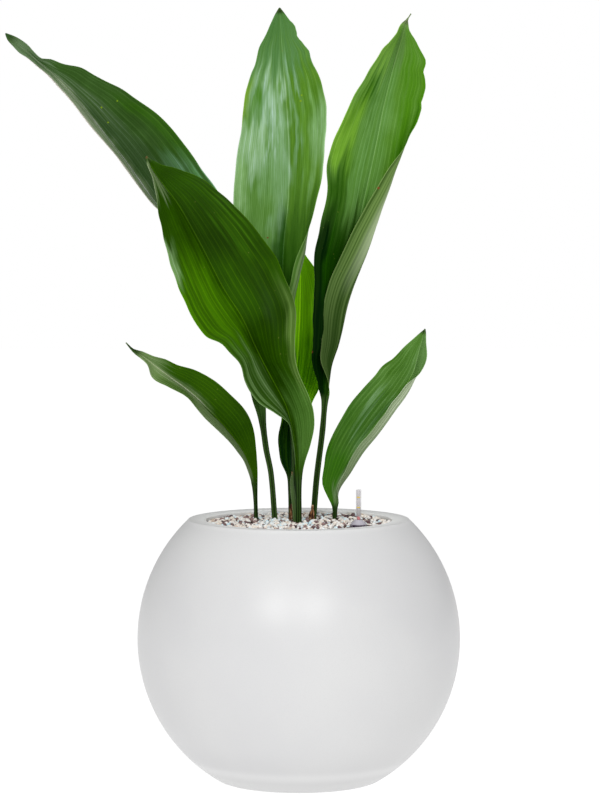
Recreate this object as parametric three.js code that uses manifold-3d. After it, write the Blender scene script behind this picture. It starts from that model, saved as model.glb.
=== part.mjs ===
// A cast iron plant in a round planter: seven leaves on one creeping rootstock, a mineral
// granulate filling, and a water level gauge. Millimetres, +Z up, the front towards -Y.
// The origin is the centre of the planter's flat base.
import * as THREE from 'three';
import { mergeVertices } from 'three/addons/utils/BufferGeometryUtils.js';
import Module from 'manifold-3d';

const wasm = await Module();
wasm.setup();

// Planter: an ellipsoid cut flat below and open above, with a nearly level lip
const POT_RADIUS = 170;
const POT_EQUATOR = 150;
const POT_HALF_HEIGHT = 172.5;
const POT_HEIGHT = 276.3;
const POT_WALL = 8;
const POT_FLOOR = 12;
const OPENING_RADIUS = 97.7;
const LIP_DROP = 0.6;
const LIP_THICK = 7;
const BASE_EDGE = 1.5;
const CREST_EDGE = 1;
const POT_SIDES = 40;
const OUTSIDE_STEPS = 15;
const INSIDE_LEVELS = [38, 70, 105, 150, 195, 235];

// Granulate
const FILL_GAP = 0.4;
const FILL_TOP = 271.8;
const GRAVEL_RINGS = 12;
const GRAVEL_RISE = 1.7;
const GRAVEL_DOME = 1;
const GRAVEL_SEED = 11;
const HOLE_GAP = 0.5;
const HOLE_SIDES = 12;

// Leaves
const BLADE_THICK = 0.7;
const RIB_HALF_WIDTH = 4;
const RIB_DEPTH = 2.3;
const STALK_FADE = 7;
const BEND_MIDDLE = 0.5;
const BEND_SPREAD = 0.25;
const TURN_STEPS = 4;
const RING_STEP = 20;
const HALF_SAMPLES = 5;
const MARGIN_WAVE = 1.3;
const MARGIN_WAVELENGTH = 85;
const WAVE_FULL_WIDTH = 30;
const SHOOT_DEPTH = 2;
const SHEATH_THICK = 0.8;
const ROOT_END = 250;
const GROUND = 276;

// Rootstock, 0.4 below the feet of the stalks
const ROOTSTOCK_RADIUS = 6.7;
const ROOTSTOCK_SIDES = 8;
const SCAR_RISE = 0.3;
const SCAR_SPACING = 6;
const ROOTSTOCK_LEVEL = ROOT_END - 0.4 - ROOTSTOCK_RADIUS - SCAR_RISE;

// Water level gauge
const GAUGE_X = 62;
const GAUGE_Y = -51;
const GAUGE_SIDES = 16;
const NECK_RADIUS = 2.8;
const NECK_WALL = 1;
const NECK_TOP = 312;
const SHAFT_RADIUS = 9;
const SHAFT_TOP = 262;
const SHAFT_SHOULDER = 6;
const SHAFT_FOOT = 22;
const FLOAT_RADIUS = 6.8;
const FLOAT_FOOT = 32;
const FLOAT_HEIGHT = 42;
const NEEDLE_RADIUS = 1.2;
const NEEDLE_TOP = 283;
const COLLAR_RADIUS = 8.8;
const COLLAR_RISE = 9.2;
const COLLAR_WALL = 1.2;
const COLLAR_GAP = 0.3;

const GREEN_DARK = 0x2f5a1c;
const GREEN_MID = 0x4a7a2c;
const GREEN_PALE = 0x7fa46a;

// Each leaf is a list of stations from its foot at the rootstock to its tip. A station holds
// these columns. The turns are degrees towards the front, past 90 where a half is folded over.
// The bend is the place across the right half where its turn changes, BEND_MIDDLE if left out.
const COLUMNS = [
  'x', 'y', 'z', 'half width',
  'left turn at midrib', 'left turn at margin',
  'right turn at midrib', 'right turn at margin', 'right bend',
];
const LEAVES = {
  leaf_front: {
    color: GREEN_DARK,
    stations: [
      [0, -10, ROOT_END, 3, 25, 25, 25, 25],
      [0, -11, GROUND, 3, 25, 25, 25, 25],
      [-0.2, -13, 312, 3.1, 25, 25, 25, 25],
      [-1.5, -15, 337, 7, 80, 80, 10, 10],
      [-3.4, -16, 354, 15, 86, 86, 5, 5],
      [-6, -18, 370, 23, 86, 86, 17, 17],
      [-9.2, -19, 384, 28, 84, 84, 27, 27],
      [-13.3, -20, 397, 33, 71, 71, 40, 40],
      [-19.6, -21, 410, 38, 61, 61, 44, 44],
      [-27.6, -23, 425, 44, 60, 60, 52, 44],
      [-36, -24.5, 441, 48, 64, 64, 58, 28],
      [-44.5, -26, 458, 52, 66, 66, 46, 10],
      [-59.3, -28, 490, 59, 50, 50, 12, -22],
      [-78.2, -29, 520, 64, 50, 50, 5, -10],
      [-101, -28, 564, 56, 53, 53, 12, 5],
      [-123.5, -25, 604, 41, 57, 57, 10, 10],
      [-143.4, -21, 631, 22, 77, 77, 10, 10],
      [-151, -20, 642, 11, 77, 77, 10, 10],
      [-158.8, -18, 656, 0.5, 60, 60, 10, 10],
    ],
  },
  leaf_tall: {
    color: GREEN_PALE,
    stations: [
      [-3.6, 12, ROOT_END, 2.8, 25, 25, 25, 25, 0.8],
      [-3.8, 14.4, GROUND, 2.8, 25, 25, 25, 25, 0.8],
      [-4.2, 18, 315, 2.8, 25, 25, 25, 25, 0.8],
      [-5.6, 24, 357, 2.8, 25, 25, 25, 25, 0.8],
      [-7.7, 29, 389, 4.5, 25, 25, 30, 30, 0.8],
      [-9.3, 33, 415, 14, 20, 20, 50, 60, 0.8],
      [-12, 38, 452, 32, 18, 18, 70, 120, 0.8],
      [-14, 43, 489, 44, 18, 18, 72, 165, 0.8],
      [-15.7, 48, 521, 51, 18, 18, 62, 158, 0.8],
      [-16.5, 52, 548, 55, 18, 18, 55, 150, 0.8],
      [-14.7, 56, 574, 58, 18, 15, 58, 95, 0.8],
      [-11, 60, 611, 60, 16, 16, 60, 60, 0.8],
      [-10, 64, 653, 57, 17, 17, 51, 51, 0.8],
      [-11.5, 67, 691, 51, 20, 20, 37, 37, 0.8],
      [-14, 69, 728, 44, 18, 18, 30, 30, 0.8],
      [-17, 70, 760, 30, 20, 20, 15, 15, 0.8],
      [-19, 70, 791, 16, 30, 30, 10, 10, 0.8],
      [-20.3, 69, 815, 0.5, 20, 20, 10, 10, 0.8],
    ],
  },
  leaf_back_left: {
    color: GREEN_DARK,
    stations: [
      [-23.2, 7, ROOT_END, 2.4, 25, 25, 25, 25],
      [-25.4, 10.2, GROUND, 2.4, 25, 25, 25, 25],
      [-29.4, 16, 323, 2.4, 25, 25, 25, 25],
      [-33.9, 20, 348, 2.4, 25, 25, 25, 25],
      [-37, 25, 372, 2.6, 25, 25, 25, 25],
      [-40, 30, 391, 5, 40, 40, 10, 10],
      [-48.6, 38, 415, 13, 78, 78, 15, 15],
      [-56, 47, 443, 24, 86, 86, 20, 20],
      [-68, 57, 475, 38, 88, 88, 15, 15],
      [-84, 67, 507, 50, 89, 89, 18, 18],
      [-103, 76, 538, 58, 90, 90, 18, 18],
      [-122, 83, 567, 60, 90, 90, 15, 15],
      [-140, 88, 592, 61, 90, 90, 10, 10],
      [-157, 91, 612, 62, 90, 90, 5, 5],
      [-171, 94, 632, 61, 89, 89, 5, 0],
      [-192, 97, 661, 57, 88, 88, 5, 0],
      [-214, 99, 689, 49, 86, 86, 5, 0],
      [-235, 100, 716, 35, 84, 84, 5, 0],
      [-257, 100, 739, 20, 80, 80, 5, 5],
      [-265, 99.5, 747, 14, 72, 72, 10, 10],
      [-273, 99, 753.5, 9, 45, 45, 35, 35],
      [-279, 98.5, 758.5, 7.5, -20, -20, 90, 90],
      [-285, 98, 765, 7, -110, -110, 140, 140],
      [-293, 97, 771.5, 6.5, -140, -140, 155, 155],
      [-302, 96, 778, 5.2, -160, -160, 165, 165],
      [-310, 95, 784, 3, -165, -165, 170, 170],
      [-314.3, 94, 789, 0.5, -165, -165, 170, 170],
    ],
  },
  leaf_behind: {
    color: GREEN_MID,
    stations: [
      [-8, 33, ROOT_END, 2.4, 25, 25, 25, 25],
      [-8.4, 34.5, GROUND, 2.4, 25, 25, 25, 25],
      [-8.8, 36, 303, 2.5, 25, 25, 25, 25],
      [-8.8, 38, 319, 4, 25, 25, 25, 25],
      [-8.8, 40, 335, 11, 30, 30, 50, 50],
      [-8.3, 43, 351, 17, 37, 37, 55, 55],
      [-7.2, 48, 372, 24, 60, 60, 55, 55],
      [-5.6, 53, 394, 30, 62, 62, 52, 52],
      [-4, 56, 410, 34, 55, 55, 41, 41],
      [-0.8, 63, 451, 38, 40, 40, 15, 15],
      [1.3, 69, 493, 36, 30, 30, 10, 10],
      [1.8, 73, 525, 24, 20, 20, 5, 5],
      [1.3, 74, 539, 15, 20, 20, 5, 5],
      [0.2, 75, 552, 6.5, 20, 20, 5, 5],
      [-0.8, 76, 565, 0.5, 20, 20, 5, 5],
    ],
  },
  leaf_right: {
    color: GREEN_MID,
    stations: [
      [13.6, 25, ROOT_END, 2.6, 25, 25, 25, 25],
      [15.6, 23.8, GROUND, 2.6, 25, 25, 25, 25],
      [18.7, 22, 315, 2.6, 25, 25, 25, 25],
      [24.8, 19, 366, 2.6, 25, 25, 25, 25],
      [27.5, 17, 400, 3.2, 25, 25, 25, 25],
      [28.2, 16, 416, 9, 35, 35, 40, 90, 0.5],
      [31.3, 17, 435, 20, 29, 29, 60, 150, 0.4],
      [36, 18, 458, 30, 40, 40, 50, 190, 0.4],
      [44.5, 22, 500, 40, 45, 45, 25, 165, 0.3],
      [53, 28, 541, 46, 37, 37, 15, 165, 0.38],
      [60.5, 32, 571, 47, 31, 31, 12, 165, 0.45],
      [69, 38, 611, 47, 28, 28, 10, 150, 0.55],
      [76.4, 42, 643, 47, 14, 14, 10, 120, 0.6],
      [83, 46, 674, 46, 22, 22, 25, 68, 0.5],
      [90, 50, 709, 41, 35, 35, 10, 30, 0.5],
      [98, 54, 742, 37, 54, 54, 0, 0, 0.5],
      [104, 56, 764, 30, 60, 60, 0, 0, 0.5],
      [109.4, 57, 782, 17, 67, 67, 8, 8, 0.5],
      [115, 58, 801, 1.5, 30, 30, 20, 20, 0.5],
      [119, 58, 808, 0.5, 30, 30, 20, 20, 0.5],
    ],
  },
  leaf_low_left: {
    color: GREEN_DARK,
    stations: [
      [-44.6, 31, ROOT_END, 2, 25, 25, 25, 25],
      [-45.4, 28, GROUND, 2, 25, 25, 25, 25],
      [-45.9, 26, 293, 2, 25, 25, 25, 25],
      [-47, 23, 310, 3.2, 50, 50, 10, 10],
      [-50, 18, 326, 6.5, 62, 62, 5, 5],
      [-55.5, 12, 341, 12, 74, 74, 5, 5],
      [-63.5, 6, 355, 19.5, 80, 80, 5, 5],
      [-73, -1, 368.5, 24, 82, 82, 8, 8],
      [-83.5, -8, 381, 27, 82, 82, 8, 8],
      [-95.5, -15, 394, 27.5, 82, 82, 8, 8],
      [-106.5, -21, 405.5, 25.5, 81, 81, 5, 5],
      [-120, -27, 417, 21.5, 80, 80, 5, 5],
      [-134, -32, 427.5, 14.5, 55, 55, 5, 5],
      [-146, -36, 437, 12, 20, 20, 0, 0],
      [-156, -39, 445, 7.5, 40, 40, 15, 15],
      [-164.5, -41, 451.5, 4, 40, 40, 15, 15],
      [-171.7, -42, 456, 1.5, 30, 30, 15, 15],
      [-179, -43, 464, 0.5, 30, 30, 15, 15],
    ],
  },
  leaf_low_right: {
    color: GREEN_MID,
    stations: [
      [37.6, 18, ROOT_END, 2.2, 25, 25, 25, 25],
      [38.1, 19.4, GROUND, 2.2, 25, 25, 25, 25],
      [38.3, 20, 287, 3.5, 25, 25, 25, 25],
      [38.9, 21, 299, 8.5, 5, 5, 60, 100],
      [41.5, 23, 310, 16.5, 0, 0, 60, 125],
      [50, 27, 325, 25, 0, 0, 60, 130],
      [63, 33, 347, 30, 0, 0, 60, 130],
      [78, 39, 367, 33, 0, 0, 60, 130],
      [95, 45, 389, 33, 0, 0, 62, 128],
      [111, 50, 409, 31, 0, 0, 65, 120],
      [122, 54, 428, 28, 0, 0, 78, 82],
      [128, 57, 449, 17, 0, 0, 64, 64],
      [135, 60, 473.5, 0.5, 0, 0, 60, 60],
    ],
  },
};

// A rolled young leaf, shorter than the stalks beside it
const SHOOT = [
  [-3.2, 1, ROOT_END, 2.2, 5, 5, 5, 5],
  [-3.2, 1, 273, 2.2, 5, 5, 5, 5],
  [-4.6, 0.5, 290, 2.3, 5, 5, 5, 5],
  [-6.4, 0, 305, 2.2, 5, 5, 5, 5],
  [-7.3, 0, 316, 1.5, 5, 5, 5, 5],
  [-6.8, 0, 326, 0.6, 5, 5, 5, 5],
];

// Dry brown scales that wrap the front of two stalks
const SHEATHS = {
  sheath_middle: [
    [-7.4, 28.8, 266, 3.2, -20, -40, -20, -40],
    [-7.4, 28.8, 274, 3.3, -20, -40, -20, -40],
    [-7.7, 28.9, 282, 2.7, -20, -40, -20, -40],
    [-8.3, 29, 289, 0.6, -20, -30, -20, -30],
  ],
  sheath_right: [
    [13.6, 18.6, 266, 3.2, -20, -40, -20, -40],
    [13.6, 18.6, 274, 3.3, -20, -40, -20, -40],
    [14, 18.5, 282, 2.6, -20, -40, -20, -40],
    [15, 18.3, 289, 0.6, -20, -30, -20, -30],
  ],
};

// The rootstock's main stem and its side branch, seen from above
const ROOTSTOCK_STEM = [[-53, 33], [-36, 19], [-22, 9], [-4, 12], [14, 23], [28, 21], [45, 18]];
const ROOTSTOCK_BRANCH = [[-9, 41], [-8, 30], [-3.5, 13], [-1, -4], [1, -17]];

const plant = new THREE.Group();

function addMesh(name, geometry, color, roughness, opacity = 1) {
  const transparent = opacity < 1;
  const material = new THREE.MeshStandardMaterial({ color, roughness, metalness: 0, transparent, opacity });
  const mesh = new THREE.Mesh(geometry, material);
  mesh.name = name;
  plant.add(mesh);
}

function indexedGeometry(points, faces) {
  const geometry = new THREE.BufferGeometry();
  geometry.setAttribute('position', new THREE.Float32BufferAttribute(points.flat(), 3));
  geometry.setIndex(faces.flat());
  return geometry;
}

function toSolid(geometry) {
  const bare = geometry.clone();
  bare.deleteAttribute('normal');
  bare.deleteAttribute('uv');
  const merged = mergeVertices(bare);
  return new wasm.Manifold(new wasm.Mesh({
    numProp: 3,
    vertProperties: new Float32Array(merged.attributes.position.array),
    triVerts: new Uint32Array(merged.index.array),
  }));
}

function toGeometry(solid) {
  const mesh = solid.getMesh();
  const geometry = new THREE.BufferGeometry();
  geometry.setAttribute('position', new THREE.Float32BufferAttribute(mesh.vertProperties, 3));
  geometry.setIndex(new THREE.Uint32BufferAttribute(mesh.triVerts, 1));
  return geometry;
}

// LatheGeometry turns its profile about Y, so the result is stood up to +Z
function lathe(profile, sides) {
  const points = profile.map(([radius, height]) => new THREE.Vector2(radius, height));
  return new THREE.LatheGeometry(points, sides).rotateX(Math.PI / 2);
}

function seededRandom(seed) {
  let state = seed;
  return () => {
    state = (state * 1664525 + 1013904223) % 4294967296;
    return state / 4294967296;
  };
}

// Distance along a list of stations to each of them
function distances(stations) {
  const places = [0];
  for (let i = 1; i < stations.length; i += 1) {
    const [ax, ay, az] = stations[i - 1];
    const [bx, by, bz] = stations[i];
    places.push(places[i - 1] + Math.hypot(bx - ax, by - ay, bz - az));
  }
  return places;
}

// One column of the stations at fraction s of a span, on a smooth curve through all of them
function columnAt(stations, places, span, s, column) {
  const value = (i) => stations[i][column] ?? BEND_MIDDLE;
  const slope = (i) => {
    const before = Math.max(i - 1, 0);
    const after = Math.min(i + 1, stations.length - 1);
    return (value(after) - value(before)) / (places[after] - places[before]);
  };
  const length = places[span + 1] - places[span];
  const blend = s * s * (3 - 2 * s);
  return value(span) * (1 - blend) + value(span + 1) * blend
    + slope(span) * length * s * (1 - s) * (1 - s)
    - slope(span + 1) * length * s * s * (1 - s);
}

// The stations with smooth rows between them, about one ring step apart
function smoothStations(stations) {
  const places = distances(stations);
  const rowAt = (span, s) => COLUMNS.map((_, column) => columnAt(stations, places, span, s, column));
  const rows = [];
  for (let span = 0; span < stations.length - 1; span += 1) {
    const steps = Math.max(1, Math.round((places[span + 1] - places[span]) / RING_STEP));
    for (let step = 0; step < steps; step += 1) {
      rows.push(rowAt(span, step / steps));
    }
  }
  rows.push(rowAt(stations.length - 2, 1));
  return rows;
}

// Points across half a blade: how far each lies outward and frontward of the midrib,
// the blade's turn there in radians, and the distance from the midrib along the blade
function halfBlade(width, midribTurn, marginTurn, bendPlace) {
  const ribEdge = Math.min(0.75 * RIB_HALF_WIDTH, 0.45 * width);
  const points = [];
  let outward = 0;
  let frontward = 0;
  let distance = 0;
  for (let i = 0; i < HALF_SAMPLES; i += 1) {
    const target = ribEdge + (width - ribEdge) * i / (HALF_SAMPLES - 1);
    const piece = (target - distance) / TURN_STEPS;
    let turn = 0;
    for (let k = 0; k < TURN_STEPS; k += 1) {
      const place = (distance + piece / 2) / width;
      const bent = THREE.MathUtils.smoothstep(place, bendPlace - BEND_SPREAD, bendPlace + BEND_SPREAD);
      turn = THREE.MathUtils.degToRad(midribTurn + (marginTurn - midribTurn) * bent);
      outward += piece * Math.cos(turn);
      frontward += piece * Math.sin(turn);
      distance += piece;
    }
    points.push({ outward, frontward, turn, distance });
  }
  return points;
}

// Samples across the whole blade, from the left margin over the midrib to the right margin
function bladeSamples([, , , width, leftMidrib, leftMargin, rightMidrib, rightMargin, bendPlace]) {
  const left = halfBlade(width, leftMidrib, leftMargin, BEND_MIDDLE);
  const right = halfBlade(width, rightMidrib, rightMargin, bendPlace);
  const middleTurn = THREE.MathUtils.degToRad((rightMidrib - leftMidrib) / 2);
  return [
    ...left.reverse().map((point) => ({ ...point, side: -1, tilt: -point.turn })),
    { outward: 0, frontward: 0, distance: 0, side: 1, tilt: middleTurn },
    ...right.map((point) => ({ ...point, side: 1, tilt: point.turn })),
  ];
}

// Height of a half ellipse over its middle, 1 there and 0 past its rim
function dome(distance, reach) {
  return Math.sqrt(Math.max(0, 1 - (distance / reach) ** 2));
}

// The closed ring of points round one station: the upper face from the left margin to the right,
// then the lower face back. The stalk is an ellipse, and the blade keeps its rib underneath.
function bladeRing(row, tangent, form, along) {
  const [x, y, z, width] = row;
  const sideways = new THREE.Vector3(0, 1, 0).cross(tangent).normalize();
  const front = sideways.clone().cross(tangent).normalize();
  const stalk = THREE.MathUtils.clamp(1 - (width - form.stalkWidth) / STALK_FADE, 0, 1);
  const rib = RIB_DEPTH * form.rib * (1 - along.fraction) ** 0.8;
  const upper = [];
  const lower = [];
  for (const { outward, frontward, distance, side, tilt } of bladeSamples(row)) {
    const phase = 2 * Math.PI * along.distance / MARGIN_WAVELENGTH + side;
    const reach = Math.min(1, width / WAVE_FULL_WIDTH) * (distance / width) ** 2;
    const wave = form.wave * reach * Math.sin(phase);
    const rise = Math.max(form.thick / 2, stalk * form.stalkDepth * dome(distance, width));
    const drop = Math.max(form.thick / 2, rib * dome(distance, Math.min(width, RIB_HALF_WIDTH)));
    const normal = front.clone().multiplyScalar(Math.cos(tilt)).addScaledVector(sideways, -Math.sin(tilt));
    const middle = new THREE.Vector3(x, y, z)
      .addScaledVector(sideways, outward * side)
      .addScaledVector(front, frontward)
      .addScaledVector(normal, wave);
    upper.push(middle.clone().addScaledVector(normal, rise).toArray());
    lower.push(middle.addScaledVector(normal, -drop).toArray());
  }
  return [...upper, ...lower.reverse()];
}

// Skin over the rings. Both faces of a blade are split along the same diagonals.
function ringSkin(ringCount, across) {
  const around = 2 * across;
  const faces = [];
  for (let ring = 0; ring < ringCount - 1; ring += 1) {
    for (let i = 0; i < around; i += 1) {
      const a = ring * around + i;
      const b = ring * around + (i + 1) % around;
      const c = b + around;
      const d = a + around;
      faces.push(...(i < across ? [[a, b, c], [a, c, d]] : [[a, b, d], [b, c, d]]));
    }
  }
  const last = (ringCount - 1) * around;
  for (let i = 0; i < across - 1; i += 1) {
    const under = around - 1 - i;
    faces.push([i, under, under - 1], [i, under - 1, i + 1]);
    faces.push([last + i, last + under - 1, last + under], [last + i, last + i + 1, last + under - 1]);
  }
  return faces;
}

function bladeGeometry(stations, form) {
  const rows = smoothStations(stations);
  const places = distances(rows);
  const middles = rows.map(([x, y, z]) => new THREE.Vector3(x, y, z));
  const stalkWidth = stations[0][3];
  const points = [];
  rows.forEach((row, i) => {
    const before = middles[Math.max(i - 1, 0)];
    const after = middles[Math.min(i + 1, rows.length - 1)];
    const tangent = after.clone().sub(before).normalize();
    const along = { distance: places[i], fraction: places[i] / places[rows.length - 1] };
    points.push(...bladeRing(row, tangent, { ...form, stalkWidth }, along));
  });
  return indexedGeometry(points, ringSkin(rows.length, 2 * HALF_SAMPLES + 1));
}

// A round stem through points at one level, with low rings round it where old leaves stood
function ringedStem(plan, swell) {
  const path = new THREE.CatmullRomCurve3(plan.map(([x, y]) => new THREE.Vector3(x, y, ROOTSTOCK_LEVEL)));
  const steps = Math.round(path.getLength() / SCAR_SPACING);
  const points = [];
  const faces = [];
  for (let step = 0; step <= steps; step += 1) {
    const middle = path.getPointAt(step / steps);
    const sideways = path.getTangentAt(step / steps).cross(new THREE.Vector3(0, 0, 1)).normalize();
    const end = step === 0 || step === steps ? 0.6 : 1;
    const scar = step % 2 === 0 ? SCAR_RISE : -SCAR_RISE;
    const reach = (ROOTSTOCK_RADIUS + scar) * end + swell;
    for (let i = 0; i < ROOTSTOCK_SIDES; i += 1) {
      const angle = 2 * Math.PI * i / ROOTSTOCK_SIDES;
      const point = middle.clone().addScaledVector(sideways, -Math.sin(angle) * reach);
      points.push([point.x, point.y, point.z + Math.cos(angle) * reach]);
    }
  }
  for (let step = 0; step < steps; step += 1) {
    for (let i = 0; i < ROOTSTOCK_SIDES; i += 1) {
      const a = step * ROOTSTOCK_SIDES + i;
      const b = step * ROOTSTOCK_SIDES + (i + 1) % ROOTSTOCK_SIDES;
      faces.push([a, b + ROOTSTOCK_SIDES, b], [a, a + ROOTSTOCK_SIDES, b + ROOTSTOCK_SIDES]);
    }
  }
  const last = steps * ROOTSTOCK_SIDES;
  for (let i = 1; i < ROOTSTOCK_SIDES - 1; i += 1) {
    faces.push([0, i, i + 1], [last, last + i + 1, last + i]);
  }
  return indexedGeometry(points, faces);
}

// The rootstock, or with a swell the space that it lies in
function rootstock(swell) {
  return toSolid(ringedStem(ROOTSTOCK_STEM, swell)).add(toSolid(ringedStem(ROOTSTOCK_BRANCH, swell)));
}

function ellipsoidRadius(z, inset) {
  const reach = (z - POT_EQUATOR) / (POT_HALF_HEIGHT - inset);
  return (POT_RADIUS - inset) * Math.sqrt(1 - reach * reach);
}

// The planter's inside from the axis at the floor up to the opening, moved inwards by a gap
function insideProfile(gap) {
  const floor = POT_FLOOR + gap;
  const wall = [floor, ...INSIDE_LEVELS].map((z) => [ellipsoidRadius(z, POT_WALL) - gap, z]);
  return [[0, floor], ...wall, [OPENING_RADIUS - gap, POT_HEIGHT - LIP_DROP - LIP_THICK - gap]];
}

function outsideProfile() {
  const turnAt = (z) => Math.asin((z - POT_EQUATOR) / POT_HALF_HEIGHT);
  const lowest = turnAt(BASE_EDGE);
  const highest = turnAt(POT_HEIGHT - CREST_EDGE);
  const profile = [[0, 0], [ellipsoidRadius(0, 0) - BASE_EDGE, 0]];
  for (let i = 0; i <= OUTSIDE_STEPS; i += 1) {
    const turn = lowest + (highest - lowest) * i / OUTSIDE_STEPS;
    profile.push([POT_RADIUS * Math.cos(turn), POT_EQUATOR + POT_HALF_HEIGHT * Math.sin(turn)]);
  }
  return profile;
}

function potGeometry() {
  const crest = ellipsoidRadius(POT_HEIGHT, 0);
  const lip = [
    [crest - CREST_EDGE, POT_HEIGHT],
    [OPENING_RADIUS + CREST_EDGE, POT_HEIGHT - LIP_DROP],
    [OPENING_RADIUS, POT_HEIGHT - LIP_DROP - CREST_EDGE],
  ];
  return lathe([...outsideProfile(), ...lip, ...insideProfile(0).reverse()], POT_SIDES);
}

// The filling: a gravel top of seeded bumps, a little higher in the middle, over a plug that
// follows the planter's inside
function fillGeometry() {
  const random = seededRandom(GRAVEL_SEED);
  const radius = OPENING_RADIUS - FILL_GAP;
  const points = [];
  const faces = [];
  const addRing = (reach, levelAt) => {
    for (let i = 0; i < POT_SIDES; i += 1) {
      const angle = 2 * Math.PI * i / POT_SIDES;
      points.push([reach * Math.sin(angle), reach * Math.cos(angle), levelAt()]);
    }
  };
  for (let ring = 1; ring <= GRAVEL_RINGS; ring += 1) {
    const middle = FILL_TOP + GRAVEL_DOME * (1 - (ring / GRAVEL_RINGS) ** 2);
    addRing(radius * ring / GRAVEL_RINGS, () => middle + (random() * 2 - 1) * GRAVEL_RISE);
  }
  const below = insideProfile(FILL_GAP).slice(1).reverse();
  for (const [reach, level] of below) {
    addRing(reach, () => level);
  }
  const rings = GRAVEL_RINGS + below.length;
  for (let ring = 0; ring < rings - 1; ring += 1) {
    for (let i = 0; i < POT_SIDES; i += 1) {
      const a = ring * POT_SIDES + i;
      const b = ring * POT_SIDES + (i + 1) % POT_SIDES;
      faces.push([a, b, b + POT_SIDES], [a, b + POT_SIDES, a + POT_SIDES]);
    }
  }
  const top = points.push([0, 0, FILL_TOP + GRAVEL_DOME]) - 1;
  const bottom = points.push([0, 0, POT_FLOOR + FILL_GAP]) - 1;
  const lastRing = (rings - 1) * POT_SIDES;
  for (let i = 0; i < POT_SIDES; i += 1) {
    const next = (i + 1) % POT_SIDES;
    faces.push([top, next, i], [bottom, lastRing + i, lastRing + next]);
  }
  return indexedGeometry(points, faces);
}

// A plain round hole from one point to another
function hole(from, to, radius) {
  const span = to.clone().sub(from);
  const geometry = new THREE.CylinderGeometry(radius, radius, span.length(), HOLE_SIDES);
  geometry.rotateX(Math.PI / 2);
  const direction = span.normalize();
  geometry.applyQuaternion(new THREE.Quaternion().setFromUnitVectors(new THREE.Vector3(0, 0, 1), direction));
  const middle = from.clone().add(to).multiplyScalar(0.5);
  return toSolid(geometry.translate(middle.x, middle.y, middle.z));
}

// The hole that a stalk stands in: along its first two stations, and past them at both ends
function stalkHole(stations) {
  const foot = new THREE.Vector3(...stations[0].slice(0, 3));
  const ground = new THREE.Vector3(...stations[1].slice(0, 3));
  const reach = ground.clone().sub(foot);
  const start = foot.addScaledVector(reach, -0.1);
  const end = ground.addScaledVector(reach, 0.5);
  return hole(start, end, stations[0][3] + HOLE_GAP);
}

function addFill() {
  const stalks = [...Object.values(LEAVES).map((leaf) => leaf.stations), SHOOT, ...Object.values(SHEATHS)];
  let fill = toSolid(fillGeometry()).subtract(rootstock(FILL_GAP));
  for (const stations of stalks) {
    fill = fill.subtract(stalkHole(stations));
  }
  const shaftFoot = new THREE.Vector3(GAUGE_X, GAUGE_Y, SHAFT_FOOT - FILL_GAP);
  const shaftTop = new THREE.Vector3(GAUGE_X, GAUGE_Y, POT_HEIGHT);
  fill = fill.subtract(hole(shaftFoot, shaftTop, SHAFT_RADIUS + FILL_GAP));
  addMesh('granulate', toGeometry(fill), 0xd8cfc6, 0.9);
}

// A clear tube, closed on top, with a narrow neck over a wider shaft that is open below
function gaugeTube() {
  const shoulder = SHAFT_TOP + SHAFT_SHOULDER;
  return lathe([
    [0, NECK_TOP - NECK_WALL],
    [NECK_RADIUS - NECK_WALL, NECK_TOP - NECK_WALL],
    [NECK_RADIUS - NECK_WALL, shoulder],
    [SHAFT_RADIUS - NECK_WALL, SHAFT_TOP - NECK_WALL],
    [SHAFT_RADIUS - NECK_WALL, SHAFT_FOOT],
    [SHAFT_RADIUS, SHAFT_FOOT],
    [SHAFT_RADIUS, SHAFT_TOP],
    [NECK_RADIUS, shoulder],
    [NECK_RADIUS, NECK_TOP],
    [0, NECK_TOP],
  ], GAUGE_SIDES);
}

// The float low in the shaft, and the red needle on it that shows in the neck
function gaugeFloat() {
  return lathe([
    [0, FLOAT_FOOT],
    [FLOAT_RADIUS, FLOAT_FOOT],
    [FLOAT_RADIUS, FLOAT_FOOT + FLOAT_HEIGHT],
    [NEEDLE_RADIUS, FLOAT_FOOT + FLOAT_HEIGHT + FLOAT_RADIUS],
    [NEEDLE_RADIUS, NEEDLE_TOP - NEEDLE_RADIUS / 2],
    [0, NEEDLE_TOP],
  ], GAUGE_SIDES);
}

// The cone round the neck that covers the shaft's hole in the gravel
function gaugeCollar() {
  const bore = NECK_RADIUS + COLLAR_GAP;
  const foot = FILL_TOP + 2 * COLLAR_GAP;
  const top = foot + COLLAR_RISE;
  return lathe([
    [bore, top - COLLAR_WALL],
    [COLLAR_RADIUS - COLLAR_WALL, foot],
    [COLLAR_RADIUS, foot],
    [COLLAR_RADIUS, foot + COLLAR_WALL],
    [bore + COLLAR_WALL, top],
    [bore, top],
    [bore, top - COLLAR_WALL],
  ], GAUGE_SIDES);
}

function addGauge() {
  addMesh('gauge_tube', gaugeTube().translate(GAUGE_X, GAUGE_Y, 0), 0xc9c7cc, 0.25, 0.5);
  addMesh('gauge_float', gaugeFloat().translate(GAUGE_X, GAUGE_Y, 0), 0xb0301c, 0.5);
  addMesh('gauge_collar', gaugeCollar().translate(GAUGE_X, GAUGE_Y, 0), 0x9d93a6, 0.3, 0.7);
}

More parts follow.
